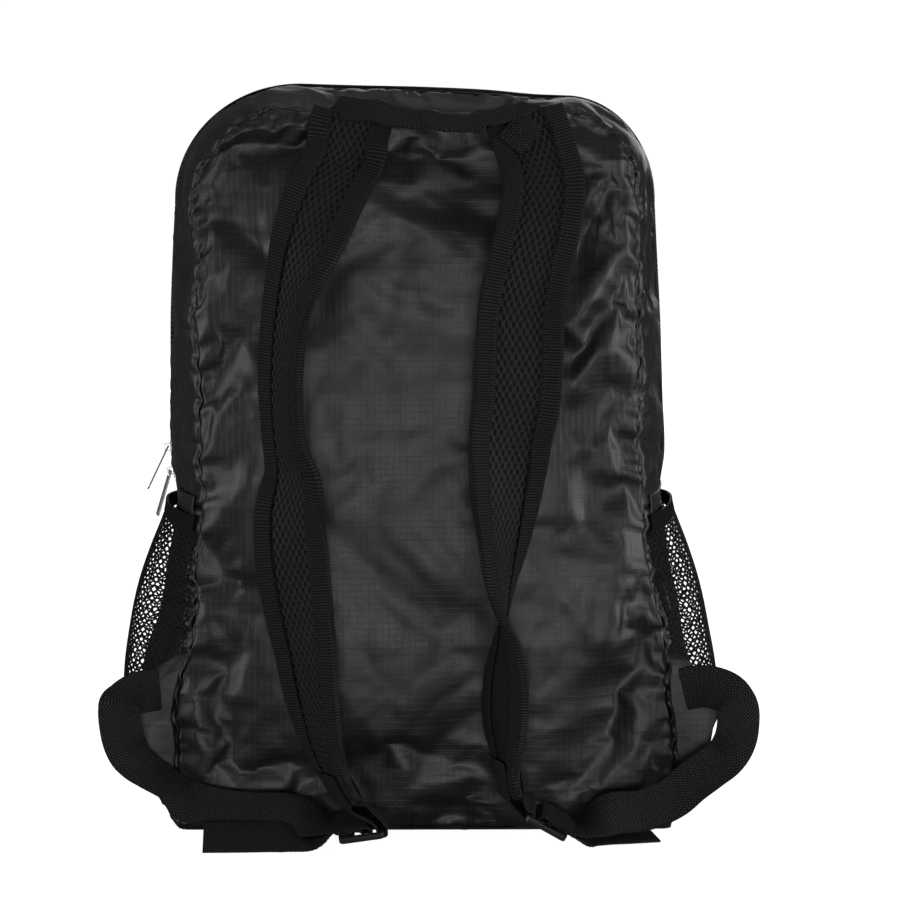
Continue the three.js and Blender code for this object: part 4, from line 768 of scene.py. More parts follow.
def ripstop_nylon():
    """Thin calendered ripstop nylon: a dark cloth with a silky sheen, and a barely visible grid of thicker
    yarns that stands a little proud; its lighter colour is a painted highlight. The yarns within the grid
    are drawn coarser than real ones, which are too fine to show."""
    material, tree, shader = start_material(
        "ripstop nylon, calendered", 0.46, "#141415", Sheen_Weight=0.03, Sheen_Roughness=0.4)
    place, across, along = cloth_place(tree)
    both_ways = {0: thick_yarns(tree, across, GRID_PITCH, 0.2), 1: thick_yarns(tree, along, GRID_PITCH, 0.2)}
    grid = add_node(tree, MATH, both_ways, operation="MAXIMUM")
    grid_highlight = add_node(tree, MATH, {0: grid, 1: 0.42}, operation="MULTIPLY")
    weave = woven(tree, across, along, YARN_PITCH)
    cloudy = add_node(tree, NOISE, {"Vector": place, "Scale": 1 / (28 * MM), "Detail": 3})
    tint = add_node(tree, MIX, {"Factor": cloudy, 6: colour("#101011"), 7: colour("#18181a")},
                    data_type="RGBA")
    # Painted highlight: the grid's yarns are painted lighter than the cloth between them.
    lit = add_node(tree, MIX, {"Factor": grid_highlight, 6: tint, 7: colour("#2a2a2c")}, data_type="RGBA")
    drift = add_node(tree, RANGE, {"Value": cloudy, "To Min": 0.4, "To Max": 0.5})
    rough = add_node(tree, MATH, {0: weave, 1: 0.06, 2: drift}, operation="MULTIPLY_ADD")
    height = add_node(tree, MATH, {0: weave, 1: 0.35, 2: grid}, operation="MULTIPLY_ADD")
    bump = add_node(tree, BUMP, {"Height": height, "Distance": 0.06 * MM, "Strength": 0.6})
    feed(tree, shader, {"Base Color": lit, "Roughness": rough, "Normal": bump})
    return material


def grosgrain(name, rib, base, ribs_across=True):
    """Woven polyester tape: matt, with fine round ribs from edge to edge, or along the tape.
    The grooves between its yarns carry painted shade.
    """
    material, tree, shader = start_material(name, 0.72, base, Sheen_Weight=0.02, Sheen_Roughness=0.5,
                                            Specular_IOR_Level=0.15)
    across, along = cloth_place(tree)[1:]
    ribs = repeated(tree, along if ribs_across else across, rib)
    yarns = repeated(tree, across if ribs_across else along, rib * 0.8)
    relief = add_node(tree, MATH, {0: yarns, 1: 0.6, 2: 0.4}, operation="MULTIPLY_ADD")
    weave = add_node(tree, MATH, {0: ribs, 1: relief}, operation="MULTIPLY")
    raised = add_node(tree, MATH, {0: weave, 1: 1.5}, operation="POWER")
    # Painted shade in the grooves: the low places of the weave are mixed towards near black.
    tint = add_node(tree, MIX, {"Factor": raised, 6: colour(PAINTED_YARN_SHADE), 7: colour(base)}, data_type="RGBA")
    bump = add_node(tree, BUMP, {"Height": weave, "Distance": 0.35 * MM, "Strength": 0.8})
    feed(tree, shader, {"Base Color": tint, "Normal": bump})
    return material


def strap_webbing():
    """Polyester strap webbing in a plain weave of thick yarns: rows of raised dots, staggered,
    between ribs that run from edge to edge. The dots' tops carry a painted highlight and the gaps
    between them painted shade."""
    material, tree, shader = start_material(
        "polyester webbing, plain woven", 0.6, "#161617", Sheen_Weight=0.02, Sheen_Roughness=0.45,
        Specular_IOR_Level=0.15)
    across, along = cloth_place(tree)[1:]
    both = {0: woven(tree, across, along, RIB_PITCH), 1: woven(tree, across, along, RIB_PITCH, RIB_PITCH / 2)}
    staggered = add_node(tree, MATH, both, operation="MAXIMUM")
    dots = add_node(tree, MATH, {0: staggered, 1: 2.5}, operation="POWER")
    # Painted highlight on the tops of the dots and painted shade in the gaps between them.
    tint = add_node(tree, MIX, {"Factor": dots, 6: colour(PAINTED_YARN_SHADE), 7: colour("#4c4c4f")}, data_type="RGBA")
    bump = add_node(tree, BUMP, {"Height": dots, "Distance": 0.5 * MM, "Strength": 0.9})
    feed(tree, shader, {"Base Color": tint, "Normal": bump})
    return material


def patches(tree, size, detail):
    """Cloudy patches over a piece, about as many millimetres across as size says."""
    place = add_node(tree, "ShaderNodeTexCoord").outputs["Object"]
    return add_node(tree, NOISE, {"Vector": place, "Scale": 1 / (size * MM), "Detail": detail})


def plain_fibre(name, roughness, base, size):
    """A dull fibre or yarn: its colour drifts a little, and its surface is slightly uneven."""
    material, tree, shader = start_material(name, roughness, base, Specular_IOR_Level=0.3)
    drift = patches(tree, size, 3)
    tint = add_node(tree, MIX, {"Factor": drift, 6: colour("#0b0b0c"), 7: colour(base)}, data_type="RGBA")
    bump = add_node(tree, BUMP, {"Height": drift, "Distance": 0.15 * MM, "Strength": 0.6})
    feed(tree, shader, {"Base Color": tint, "Normal": bump})
    return material


def moulded_acetal():
    """Injection-moulded acetal: a dense black plastic with a fine spark-eroded grain, drawn
    coarser than the real one so that it shows."""
    material, tree, shader = start_material("acetal, moulded", 0.42, "#1a1a1c", IOR=1.48)
    grain = patches(tree, 0.8, 2)
    rough = add_node(tree, RANGE, {"Value": grain, "To Min": 0.34, "To Max": 0.52})
    bump = add_node(tree, BUMP, {"Height": grain, "Distance": 0.04 * MM, "Strength": 0.5})
    feed(tree, shader, {"Roughness": rough, "Normal": bump})
    return material


def nickel_plate():
    """Zinc die casting with bright nickel plate: a slightly warm mirror, worn softer in places."""
    material, tree, shader = start_material("zinc, nickel plated", 0.2, "#cfcdc8", Metallic=1.0)
    wear = patches(tree, 3, 3)
    rough = add_node(tree, RANGE, {"Value": wear, "To Min": 0.36, "To Max": 0.5})
    tint = add_node(tree, MIX, {"Factor": wear, 6: colour("#d8d6d2"), 7: colour("#f2f0ec")}, data_type="RGBA")
    bump = add_node(tree, BUMP, {"Height": wear, "Distance": 0.03 * MM, "Strength": 0.4})
    feed(tree, shader, {"Base Color": tint, "Roughness": rough, "Normal": bump})
    return material


RIPSTOP = ripstop_nylon()
ZIP_TAPE = grosgrain("polyester zip tape, woven", 1.3, "#1c1c1e", ribs_across=False)
BINDING = grosgrain("polyester grosgrain binding", 1.7, "#3a3a3d")
ELASTIC = grosgrain("ribbed elastic, woven", 1.6, "#232326", ribs_across=False)
WEBBING = strap_webbing()
COIL = plain_fibre("nylon coil, extruded", 0.35, "#19191b", 4)
AIR_MESH = plain_fibre("polyester air mesh, knitted", 0.62, "#1f1f21", 2)
# The core under the air mesh is painted near black: painted shade seen through the mesh's holes.
SHADED_MESH_CORE = plain_fibre("air mesh core, painted dark as the shade in its holes", 0.8, "#0c0c0d", 2)
NET = plain_fibre("polyester net, knitted", 0.7, "#151517", 2)
THREAD = plain_fibre("polyester sewing thread", 0.5, "#2c2c2f", 1)
ACETAL = moulded_acetal()
NICKEL = nickel_plate()


# The cloth body: each panel stands between its seams, drawn in at them and puckered along them.
def draw_in_seams(points, normals, seed, puckers=1.0):
    """Pulls a panel's edges in at its seams, and gathers the cloth along them in uneven puckers."""
    along_rows, along_columns = arc_lengths(points, 1), arc_lengths(points, 0)
    chance = np.random.RandomState(seed)
    phase = chance.uniform(0, 2 * np.pi, 8)
    height = np.zeros(points.shape[:2])
    edges = [
        (along_rows, along_columns), (along_rows[:, -1:] - along_rows, along_columns),
        (along_columns, along_rows), (along_columns[-1:] - along_columns, along_rows),
    ]
    for n, (away, walked) in enumerate(edges):
        wander = 11 * np.sin(walked / 31 + phase[n]) + 7 * np.sin(walked / 13 + 2 * phase[n])
        wave = np.sin(2 * np.pi * (walked + wander) / PUCKER_LENGTH + 0.4 * away / PUCKER_LENGTH)
        slow = np.sin(2 * np.pi * (walked + 2 * wander) / (3.3 * PUCKER_LENGTH) + phase[n])
        strength = np.clip(np.sin(walked / 37 + phase[n + 4]), 0, 1) ** 2
        reach = PUCKER_REACH * (1 + 0.8 * np.sin(walked / 19 + phase[n]))
        height += puckers * SEAM_LIP * (0.12 * wave * strength + 0.35 * slow) * np.exp(-away / reach)
        height -= SEAM_DEPTH * np.exp(-(away / SEAM_LIP) ** 2)
    return points + normals * height[..., None]


def at_grid(values, rows, columns):
    """A coarse grid's values at the places of a finer one."""
    row = np.linspace(0, values.shape[0] - 1, rows)
    column_at = np.linspace(0, values.shape[1] - 1, columns)
    low_row = np.minimum(row.astype(int), values.shape[0] - 2)
    low_column = np.minimum(column_at.astype(int), values.shape[1] - 2)
    down, over = (row - low_row)[:, None, None], (column_at - low_column)[None, :, None]
    upper = mix(values[low_row][:, low_column], values[low_row][:, low_column + 1], over)
    lower = mix(values[low_row + 1][:, low_column], values[low_row + 1][:, low_column + 1], over)
    return mix(upper, lower, down)


def buckled(name, points):
    """How far a sheet moves when it is a little larger than its seams allow, by cloth simulation."""
    rows, columns = points.shape[:2]
    piece = new_piece(name, points.reshape(-1, 3), grid_faces(rows, columns), RIPSTOP)
    index = np.arange(rows * columns).reshape(rows, columns)
    rim = np.unique(np.concatenate([index[0], index[-1], index[:, 0], index[:, -1]]))
    piece.vertex_groups.new(name="seams").add(rim.tolist(), 1.0, "REPLACE")
    cloth = piece.modifiers.new("cloth", "CLOTH")
    cloth.settings.quality = 5
    cloth.settings.mass = 0.1
    cloth.settings.tension_stiffness = 20
    cloth.settings.compression_stiffness = 20
    cloth.settings.shear_stiffness = 8
    cloth.settings.bending_stiffness = 4
    cloth.settings.shrink_min = -SLACK
    cloth.settings.vertex_group_mass = "seams"
    cloth.settings.effector_weights.gravity = 0
    cloth.collision_settings.use_self_collision = False
    for number in range(1, BUCKLE_FRAMES + 1):
        bpy.context.scene.frame_set(number)
    still = piece.evaluated_get(bpy.context.evaluated_depsgraph_get())
    moved = np.empty(rows * columns * 3)
    still.data.vertices.foreach_get("co", moved)
    bpy.data.objects.remove(piece)
    bpy.context.scene.frame_set(1)
    return moved.reshape(rows, columns, 3) / MM - points


def creased(name, points, normals, cap):
    """A sheet with the creases of its slack, none deeper than the cap, and its new outward way."""
    rows, columns = points.shape[:2]
    moves = buckled(f"{name}_sheet", points[::2, ::2])
    size = np.linalg.norm(moves, axis=-1, keepdims=True)
    moves *= cap * np.tanh(size / cap) / np.maximum(size, 1e-6)
    points = points + at_grid(moves, rows, columns)
    turned = grid_normals(points)
    return points, turned * np.sign(np.sum(turned * normals, axis=-1, keepdims=True))


def make_panel(name, node, side, grid, seed):
    """The cloth of the back (side -1) or the front (side 1), with its folds and creases."""
    rows, columns = grid
    w, u = np.meshgrid(near_ends(rows, SEAM_CROWDING), near_ends(columns, SEAM_CROWDING), indexing="ij")
    points = panel_point(side, u, w)
    normals = grid_normals(points)
    middle = (rows // 2, columns // 2)
    normals *= np.sign(normals[middle][1] * side)
    across, up = points[..., 0], points[..., 2]
    fade = np.clip(14 * from_edges(u, w), 0.25, 1)
    height = sum(depth * crumple(across, up, seed + n, size, waves)
                 for n, (size, waves, depth) in enumerate(PANEL_CRUMPLES))
    place = np.stack([across, up], axis=-1)
    points = points + normals * (height * fade)[..., None]
    points, normals = creased(name, points, normals, BUCKLE_CAP)
    points = draw_in_seams(points, normals, seed)
    turned = grid_normals(points)
    turned *= np.sign(turned[middle] @ normals[middle])
    piece = closed_sheet(name, points, turned, SKIN_THICKNESS, RIPSTOP, place)
    return finish_piece(piece, "ripstop_cloth", node)


make_panel("back_cloth", "back_panel", -1, (241, 171), 11)
make_panel("front_cloth", "front_panel", 1, (161, 121), 23)


def band_skin(walked, step):
    """Points of the band with its dents, and its outward directions, on a grid."""
    points = band_point(walked, step)
    normals = grid_normals(points)
    middle = (points.shape[0] // 2, points.shape[1] // 2)
    return points, normals * np.sign(normals[middle] @ (points[middle] - BODY_MIDDLE))


def make_band(name, node, walk, steps, grid, seed, crumples, finish=(RIPSTOP, "ripstop_cloth"), puckers=1.0):
    """The cloth of a stretch of the band, between two places along it and two through its depth."""
    rows, columns = grid
    walked, step = np.meshgrid(np.linspace(*walk, rows), mix(*steps, near_ends(columns, BAND_CROWDING)),
                               indexing="ij")
    points, normals = band_skin(walked, step)
    uvs = laid_flat(points)
    across = 2 * step / DEPTH_STEPS - 1
    rise = 2 * walked / BAND_REACH - 1
    size = (PACK_DEPTH / 2, BAND_REACH / ROWS * PACK_HEIGHT / 2)
    edge = np.minimum(step - steps[0], steps[1] - step) / (steps[1] - steps[0])
    height = fold_height(BAND_FOLDS, across, rise, size) if crumples else np.zeros(points.shape[:2])
    for n, (length, waves, depth) in enumerate(crumples):
        height += depth * crumple(uvs[..., 0], uvs[..., 1], seed + n, length, waves)
    points = points + normals * (height * np.minimum(1, 3 * edge + 0.15))[..., None]
    if crumples:
        points, normals = creased(name, points, normals, BAND_CAP)
    points = draw_in_seams(points, normals, seed, puckers)
    material, slot = finish
    piece = closed_sheet(name, points, normals, SKIN_THICKNESS, material, uvs)
    return finish_piece(piece, slot, node)


ARCH = (ZIP_END_ROW, BAND_REACH - ZIP_END_ROW)
make_band("gusset_cloth_back", "gusset_back", ARCH, (0, TAPE_FROM), (481, 33), 31, GUSSET_CRUMPLES)
make_band("gusset_cloth_front", "gusset_front", ARCH, (TAPE_TO, DEPTH_STEPS), (481, 33), 37, GUSSET_CRUMPLES)
make_band("zip_tape_cloth", "zip_tape", ARCH, (TAPE_FROM, TAPE_TO), (320, 10), 41, [],
          (ZIP_TAPE, "zip_tape_cloth"), 0.15)
make_band("flank_cloth_left", "side_panel_left", (0, ZIP_END_ROW), (0, DEPTH_STEPS), (121, 91), 43,
          FLANK_CRUMPLES)
make_band("flank_cloth_right", "side_panel_right", (BAND_REACH - ZIP_END_ROW, BAND_REACH), (0, DEPTH_STEPS),
          (121, 91), 47, FLANK_CRUMPLES)


def make_base():
    """The base: flat where the pack stands on it, drawn up to its seams."""
    rows, columns = 40, 70
    u = near_ends(columns, BAND_CROWDING)
    v = near_ends(rows, BAND_CROWDING)[:, None]
    back = panel_point(-1, u, np.zeros(columns))
    front = panel_point(1, u, np.zeros(columns))
    walls = np.minimum(np.minimum(u, 1 - u) * PACK_WIDTH, np.minimum(v, 1 - v) * PACK_DEPTH)
    height = BASE_SEAM_HEIGHT * np.exp(-walls / BASE_TURN) + BASE_CLEARANCE
    points = np.stack([mix(back[:, 0], front[:, 0], v), mix(back[:, 1], front[:, 1], v), height], axis=-1)
    downward = np.broadcast_to([0.0, 0.0, -1.0], points.shape)
    piece = closed_sheet("base_cloth", points, downward, SKIN_THICKNESS, RIPSTOP, points[..., :2])
    finish_piece(piece, "ripstop_cloth", "bottom_panel")


make_base()


# Places on the flanks, for what is sewn to them or hangs before them
def flank_row(height):
    """The row of the solid body at a height up its flanks."""
    top = CORNERS["zip"]["start"] * PACK_HEIGHT
    return (height - BASE_SEAM_HEIGHT) / (top - BASE_SEAM_HEIGHT) * (ROWS - CORNER_STEPS)


def flank_skin(sign, height, step, out):
    """Points of a flank at heights and depth steps, moved out by distances."""
    row, step = np.broadcast_arrays(np.asarray(flank_row(height), float), np.asarray(step, float))
    walked = row if sign < 0 else BAND_REACH - row
    small = 0.02
    points = band_point(walked, step)
    over = band_point(walked, step + small) - band_point(walked, step - small)
    ahead = band_point(walked + small, step) - band_point(walked - small, step)
    return points + facing_away(points, unit(np.cross(ahead, over))) * np.asarray(out)[..., None]


def flank_sheet(sign, height, step, out):
    """A sheet that lies at a distance out of a flank, with its outward directions."""
    points = flank_skin(sign, height, step, out)
    return points, unit(points - flank_skin(sign, height, step, out - 1))


zip_end = float(flank_line("zip", -1, np.array([float(ZIP_END_ROW)]))[1][0])


# A band is a strap, tape or webbing: its middle line, its width direction and the way out of
# its face at even steps along it, with its width and the depth of its hollow.
def smooth_route(points, per_piece):
    """A smooth curve through points, centripetal, with the point numbers it passes."""
    points = np.asarray(points, float)
    first = 2 * points[0] - points[1]
    last = 2 * points[-1] - points[-2]
    knots = np.concatenate([[first], points, [last]])
    t = np.linspace(0, 1, per_piece, endpoint=False)[:, None]
    pieces = []
    for n in range(len(points) - 1):
        p0, p1, p2, p3 = knots[n:n + 4]
        d0, d1, d2 = (max(np.linalg.norm(b - a), 1e-4) ** 0.5 for a, b in ((p0, p1), (p1, p2), (p2, p3)))
        start = ((p1 - p0) / d0 - (p2 - p0) / (d0 + d1) + (p2 - p1) / d1) * d1
        finish = ((p2 - p1) / d1 - (p3 - p1) / (d1 + d2) + (p3 - p2) / d2) * d1
        pieces.append((2 * t**3 - 3 * t**2 + 1) * p1 + (t**3 - 2 * t**2 + t) * start
                      + (3 * t**2 - 2 * t**3) * p2 + (t**3 - t**2) * finish)
    keys = np.arange((len(points) - 1) * per_piece + 1) / per_piece
    return np.concatenate(pieces + [points[-1:]]), keys


def lay_band(middles, keys, across_at, width_at, cup_at, pitch):
    """A band at even steps along a route."""
    walked = walked_along(middles)
    count = max(int(round(walked[-1] / pitch)), 3) + 1
    length = np.linspace(0, walked[-1], count)
    middle = between(length, walked, middles)
    key = np.interp(length, walked, keys)
    heading = unit(np.gradient(middle, axis=0))
    across = across_at(key)
    across = unit(across - heading * np.sum(across * heading, axis=1, keepdims=True))
    return {"length": length, "middle": middle, "across": across, "face": np.cross(heading, across),
            "half": width_at(key) / 2, "cup": cup_at(key)}


def on_band(band, length, side, out):
    """Points at lengths along a band, distances across it and distances out of its face."""
    length, side, out = np.broadcast_arrays(np.asarray(length, float), side, out)
    middle, across, face = (between(length, band["length"], band[name])
                            for name in ("middle", "across", "face"))
    half = np.interp(length, band["length"], band["half"])
    hollow = np.interp(length, band["length"], band["cup"]) * 2 * half
    share = side / half
    slope = 2 * hollow * share / half
    tilt = np.hypot(1, slope)
    return (middle + unit(across) * (side - out * slope / tilt)[..., None]
            + unit(face) * (hollow * (share**2 - 1) + out / tilt)[..., None])


def band_strip(name, band, section, material, rib=0.0):
    """A closed strip along a band. section gives distances across and out for one half width,
    and rib is the depth of the woven ribs from edge to edge, as a share of the thickness."""
    lengths = band["length"][:, None]
    outline = np.array([section(half) for half in band["half"]])
    outline[..., 1] *= 1 + rib * np.sin(2 * np.pi * lengths / RIB_PITCH)
    points = on_band(band, lengths, outline[..., 0], outline[..., 1])
    rows, columns = points.shape[:2]
    last = (rows - 1) * columns
    ends = [list(range(columns))[::-1], list(range(last, last + columns))]
    uvs = np.stack([outline[..., 0], np.broadcast_to(lengths, outline.shape[:2])], axis=-1)
    faces = tube_faces(rows, columns).tolist() + ends
    return new_piece(name, points.reshape(-1, 3), faces, material, uvs.reshape(-1, 2))


def rounded_band(thickness):
    """A flat band's section with soft edges."""
    def section(half):
        turn = np.linspace(-np.pi / 2, np.pi / 2, 4)
        radius = thickness / 2
        edge = np.stack([half - radius + radius * np.cos(turn), radius * np.sin(turn)], axis=-1)
        flat = np.linspace(half - radius, radius - half, 12)[1:-1]
        over = np.stack([flat, np.full(len(flat), radius)], axis=-1)
        return np.concatenate([edge, over, -edge, -over])
    return section


def webbing_piece(name, band, thickness, *nodes):
    """A piece of woven webbing along a band, with ribs from edge to edge."""
    piece = band_strip(name, band, rounded_band(thickness), WEBBING, RIB_DEPTH)
    finish_piece(piece, "webbing", *nodes)


def stitch_row(name, band, inset, out):
    """A row of lockstitches inside an edge of a band: short spindles of thread on the cloth."""
    along = band["length"][1:-1]
    side = np.sign(inset) * (band["half"][1:-1] - abs(inset))
    points = on_band(band, along, side, out)
    outs = on_band(band, along, side, out + 1) - points
    length = walked_along(points)
    start = (np.arange(int(length[-1] / STITCH_PITCH)) + 0.15) * STITCH_PITCH
    first, middle, last = (between(start + share * STITCH_LENGTH, length, points) for share in (0, 0.5, 1))
    outward = unit(between(start, length, outs))
    edge = unit(np.cross(last - first, outward)) * STITCH_WIDTH / 2
    top = outward * STITCH_HEIGHT
    corners = np.stack([first, last, middle + edge, middle + top, middle - edge, middle - top], axis=1)
    turns = ((2, 3), (3, 4), (4, 5), (5, 2))
    spindle = [(0, a, b) for a, b in turns] + [(1, b, a) for a, b in turns]
    faces = faces_of_copies(spindle, len(start), corners.shape[1])
    finish_piece(new_piece(name, corners.reshape(-1, 3), faces, THREAD), "binding_tape")


# The shoulder straps
skin_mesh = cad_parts["back_panel"].data
skin_tree = BVHTree.FromPolygons([corner.co for corner in skin_mesh.vertices],
                                 [face.vertices for face in skin_mesh.polygons])


def back_skin(x, z):
    """Where the back panel's outside lies in y, at a place across and up it."""
    hit = skin_tree.ray_cast(Vector((x, -1000, z)) * MM, Vector((0, 1, 0)))[0]
    if hit is None:
        return -PACK_DEPTH * float(column(DEPTHS, "rise", "back", z / PACK_HEIGHT))
    return hit.y / MM


def strap_route(rows):
    """The middle line of a strap, never closer to the panel than its own thickness allows."""
    seat = STRAP_THICKNESS / 2 + BINDING_THICKNESS + 4 * SEAT_GAP
    reach = STRAP_WIDTH / 2
    middles = []
    for row in rows:
        x, z = row["across"] * HALF_WIDTH, row["rise"] * PACK_HEIGHT
        under = [back_skin(x + side * reach, z + up * seat)
                 for side in (-1, -0.5, 0, 0.5, 1) for up in (-1, 0, 1)]
        middles.append((x, min(back_skin(x, z) - row["out"] * STRAP_STANDOFF, min(under) - seat), z))
    return smooth_route(middles, 24)


def lay_strap(side, pitch):
    """A shoulder strap's band, with the roll, width and hollow of its table."""
    rows = [{**row, "key": key} for key, row in enumerate(STRAPS[side])]
    middles, keys = strap_route(rows)

    def across_at(key):
        roll = np.radians(column(rows, "key", "roll", key))
        return np.stack([np.cos(roll), -np.sin(roll), np.zeros_like(roll)], axis=-1)

    def width_at(key):
        return column(rows, "key", "width", key) * STRAP_WIDTH

    def cup_at(key):
        return column(rows, "key", "cup", key)
    return lay_band(middles, keys, across_at, width_at, cup_at, pitch)


def pad_section(half):
    """The strap's pad between its bindings, a little fuller in its middle."""
    edge = half - BINDING_THICKNESS - SEAT_GAP
    across = np.linspace(-edge, edge, 16)
    out = STRAP_THICKNESS / 2 - PAD_PRESS
    top = np.stack([across, out + PAD_CROWN * (1 - (across / edge) ** 2)], -1)
    under = np.stack([across, np.full(16, -out - PAD_UNDER)], -1)
    return np.concatenate([under, top[::-1]])


def binding_section(sign):
    """A tape folded over the strap's edge, its two layers pressed on the pad."""
    def section(half):
        inner = STRAP_THICKNESS / 2 + SEAT_GAP
        outer = inner + BINDING_THICKNESS
        lap, fold = half - BINDING_LAP, half - BINDING_THICKNESS
        turn = np.linspace(-np.pi / 2, np.pi / 2, 7)
        bend = np.stack([half - BINDING_BEND * (1 - np.cos(turn)), outer * np.sin(turn)], -1)
        tuck = np.stack([fold - TUCK_BEND * (1 - np.cos(turn)), inner * np.sin(turn)], -1)[::-1]
        layer = np.linspace(lap, half - BINDING_BEND, 7)
        under = np.stack([layer[:-1], np.full(6, -outer)], -1)
        over = np.stack([layer[-2::-1], np.full(6, outer)], -1)
        outline = np.concatenate([under, bend, over, [[lap, inner]], tuck, [[lap, -inner]]])
        return outline if sign > 0 else (outline * [-1, 1])[::-1]
    return section


def honeycomb(name, band):
    """The open face of the air mesh: yarn bars round staggered holes, long along the strap."""
    across_pitch, along_pitch = MESH_PITCHES
    total = band["length"][-1]
    turn = np.linspace(0, 2 * np.pi, HOLE_SIDES, endpoint=False)
    hole = np.stack([np.cos(turn), np.sin(turn)], -1)
    reach = 1 / np.maximum(np.abs(hole[:, 0]), np.abs(hole[:, 0]) / 2 + np.abs(hole[:, 1]) * 0.9)
    edge = hole * reach[:, None] * [across_pitch / 2, along_pitch * 2 / 3]
    inner = edge * HOLE_SHARES
    out = STRAP_THICKNESS / 2 + MESH_RISE
    rings = [(edge, out - 0.12), (mix(edge, inner, 0.5), out), (inner, out - 0.2),
             (inner * 0.96, out - MESH_DEPTH)]
    cell_form = np.concatenate([np.insert(ring, 2, height, axis=1) for ring, height in rings])
    cells = []
    for row in range(int(total / along_pitch)):
        length = (row + 0.5) * along_pitch
        half = np.interp(length, band["length"], band["half"]) - BINDING_LAP + 0.8
        count = int(2 * half / across_pitch) + 2
        for cell in range(-count // 2, count // 2 + 1):
            centre = (cell + 0.5 * (row % 2)) * across_pitch
            if abs(centre) > half + across_pitch / 2:
                continue
            side, along, height = cell_form.T
            within = np.clip(centre + side, -half, half)
            cells.append(np.stack([np.clip(length + along, 0, total), within, height], -1))
    corners = np.concatenate(cells)
    faces = faces_of_copies(tube_faces(len(rings), HOLE_SIDES), len(cells), len(cell_form))
    piece = new_piece(name, on_band(band, *corners.T), faces, AIR_MESH, corners[:, [1, 0]])
    return finish_piece(piece, "air_mesh")


straps = {side: lay_strap(side, 1.6) for side in ("left", "right")}
tape_face = STRAP_THICKNESS / 2 + SEAT_GAP + BINDING_THICKNESS
for side, strap in straps.items():
    # The pad's core carries painted shade, seen through the holes of the air mesh.
    pad = band_strip(f"strap_core_{side}", strap, pad_section, SHADED_MESH_CORE)
    finish_piece(pad, "air_mesh", f"strap_pad_{side}")
    honeycomb(f"strap_air_mesh_{side}", strap)
    inner_edge = 1 if side == "left" else -1
    for where, sign in (("inner", inner_edge), ("outer", -inner_edge)):
        binding = band_strip(f"strap_tape_{side}_{where}", strap, binding_section(sign), BINDING)
        finish_piece(binding, "binding_tape", f"strap_binding_{side}_{where}")
        for face in (-1, 1):
            stitch_row(f"stitches_{side}_{where}_{face}", strap, sign * (BINDING_LAP - STITCH_INSET),
                       face * tape_face)


# The ladder locks and the webbing through them
def lock_frame(place):
    """A lock's middle, and its directions along it, across it and out of its face."""
    x, z = place["across"] * HALF_WIDTH, place["rise"] * PACK_HEIGHT
    middle = np.array([x, back_skin(x, z) - place["out"] * STRAP_STANDOFF, z])
    slope, lean = math.radians(place["slope"]), math.radians(place["lean"])
    along = np.array([place["side"] * math.cos(slope), 0, -math.sin(slope)])
    across = np.array([0, math.cos(lean), math.sin(lean)])
    across = unit(across - along * (across @ along))
    face = np.cross(along, across) * place["side"]
    return {"middle": middle, "along": along, "across": across, "face": face}


def lock_point(lock, along, out):
    """A place on a lock's middle line, along it from its strap bar and out of its face."""
    return lock["middle"] + lock["along"] * (along - LOCK_LENGTH / 2) + lock["face"] * out


def turn_under(bar):
    """The way down before a bar of the lock, under it and up behind it."""
    reach = SEAT_GAP + WEBBING_THICKNESS / 2
    cut, face = 0.45 * reach, LOCK_THICKNESS / 2
    return [(bar - reach, -face - cut), (bar - cut, -face - reach),
            (bar + LOCK_BAR + cut, -face - reach), (bar + LOCK_BAR + reach, -face - cut)]


def lay_webbing(stations, pitch, width=WEBBING_WIDTH):
    """A flat band of even width through stations, each with a middle and a width direction."""
    middles, keys = smooth_route([middle for middle, _ in stations], 12)
    directions = np.array([across for _, across in stations])
    numbers = np.arange(len(stations))

    def across_at(key):
        return between(key, numbers, directions)

    def width_at(key):
        return np.full(len(key), float(width))

    def cup_at(key):
        return np.zeros(len(key))
    return lay_band(middles, keys, across_at, width_at, cup_at, pitch)


def webbing_stations(side):
    """The adjusting webbing from its tab to the lock, over and under its bars, and its tail.
    The offsets at the lock are chosen one by one, in millimetres along it and out of its face."""
    sign = -1 if side == "left" else 1
    lock = lock_frame(LOCKS[side])

    def place(row):
        seam = -PACK_DEPTH * float(column(DEPTHS, "rise", "back", row["rise"]))
        middle = np.array([sign * row["across"] * HALF_WIDTH, seam - row["out"] * STRAP_STANDOFF,
                           row["rise"] * PACK_HEIGHT])
        return middle, unit(np.array([-sign * row["lean"], row["toward"], row["up"]]))
    half = WEBBING_THICKNESS / 2
    layer = LOCK_THICKNESS / 2 + SEAT_GAP + half
    second = layer + WEBBING_THICKNESS + SEAT_GAP
    bar_from, bar_to = LOCK_BAR + LOCK_SLOT, 2 * LOCK_BAR + LOCK_SLOT
    over = [(LOCK_LENGTH + 5, second), (LOCK_LENGTH - 3, second), (bar_to + 1, second),
            (bar_from + 0.6, second - 0.2), (bar_from - SEAT_GAP - half, layer - 0.8)]
    back = [(bar_to + SEAT_GAP + half, layer - 1.6), (bar_to + SEAT_GAP + half + 1.6, layer),
            (LOCK_LENGTH - 3, layer), (LOCK_LENGTH + 4, layer)]
    route = over + turn_under(bar_from) + back
    through = [(lock_point(lock, along, out), lock["across"]) for along, out in route]
    return [place(r) for r in WEBBING_RUNS[side]] + through + [place(r) for r in WEBBING_TAILS[side]]


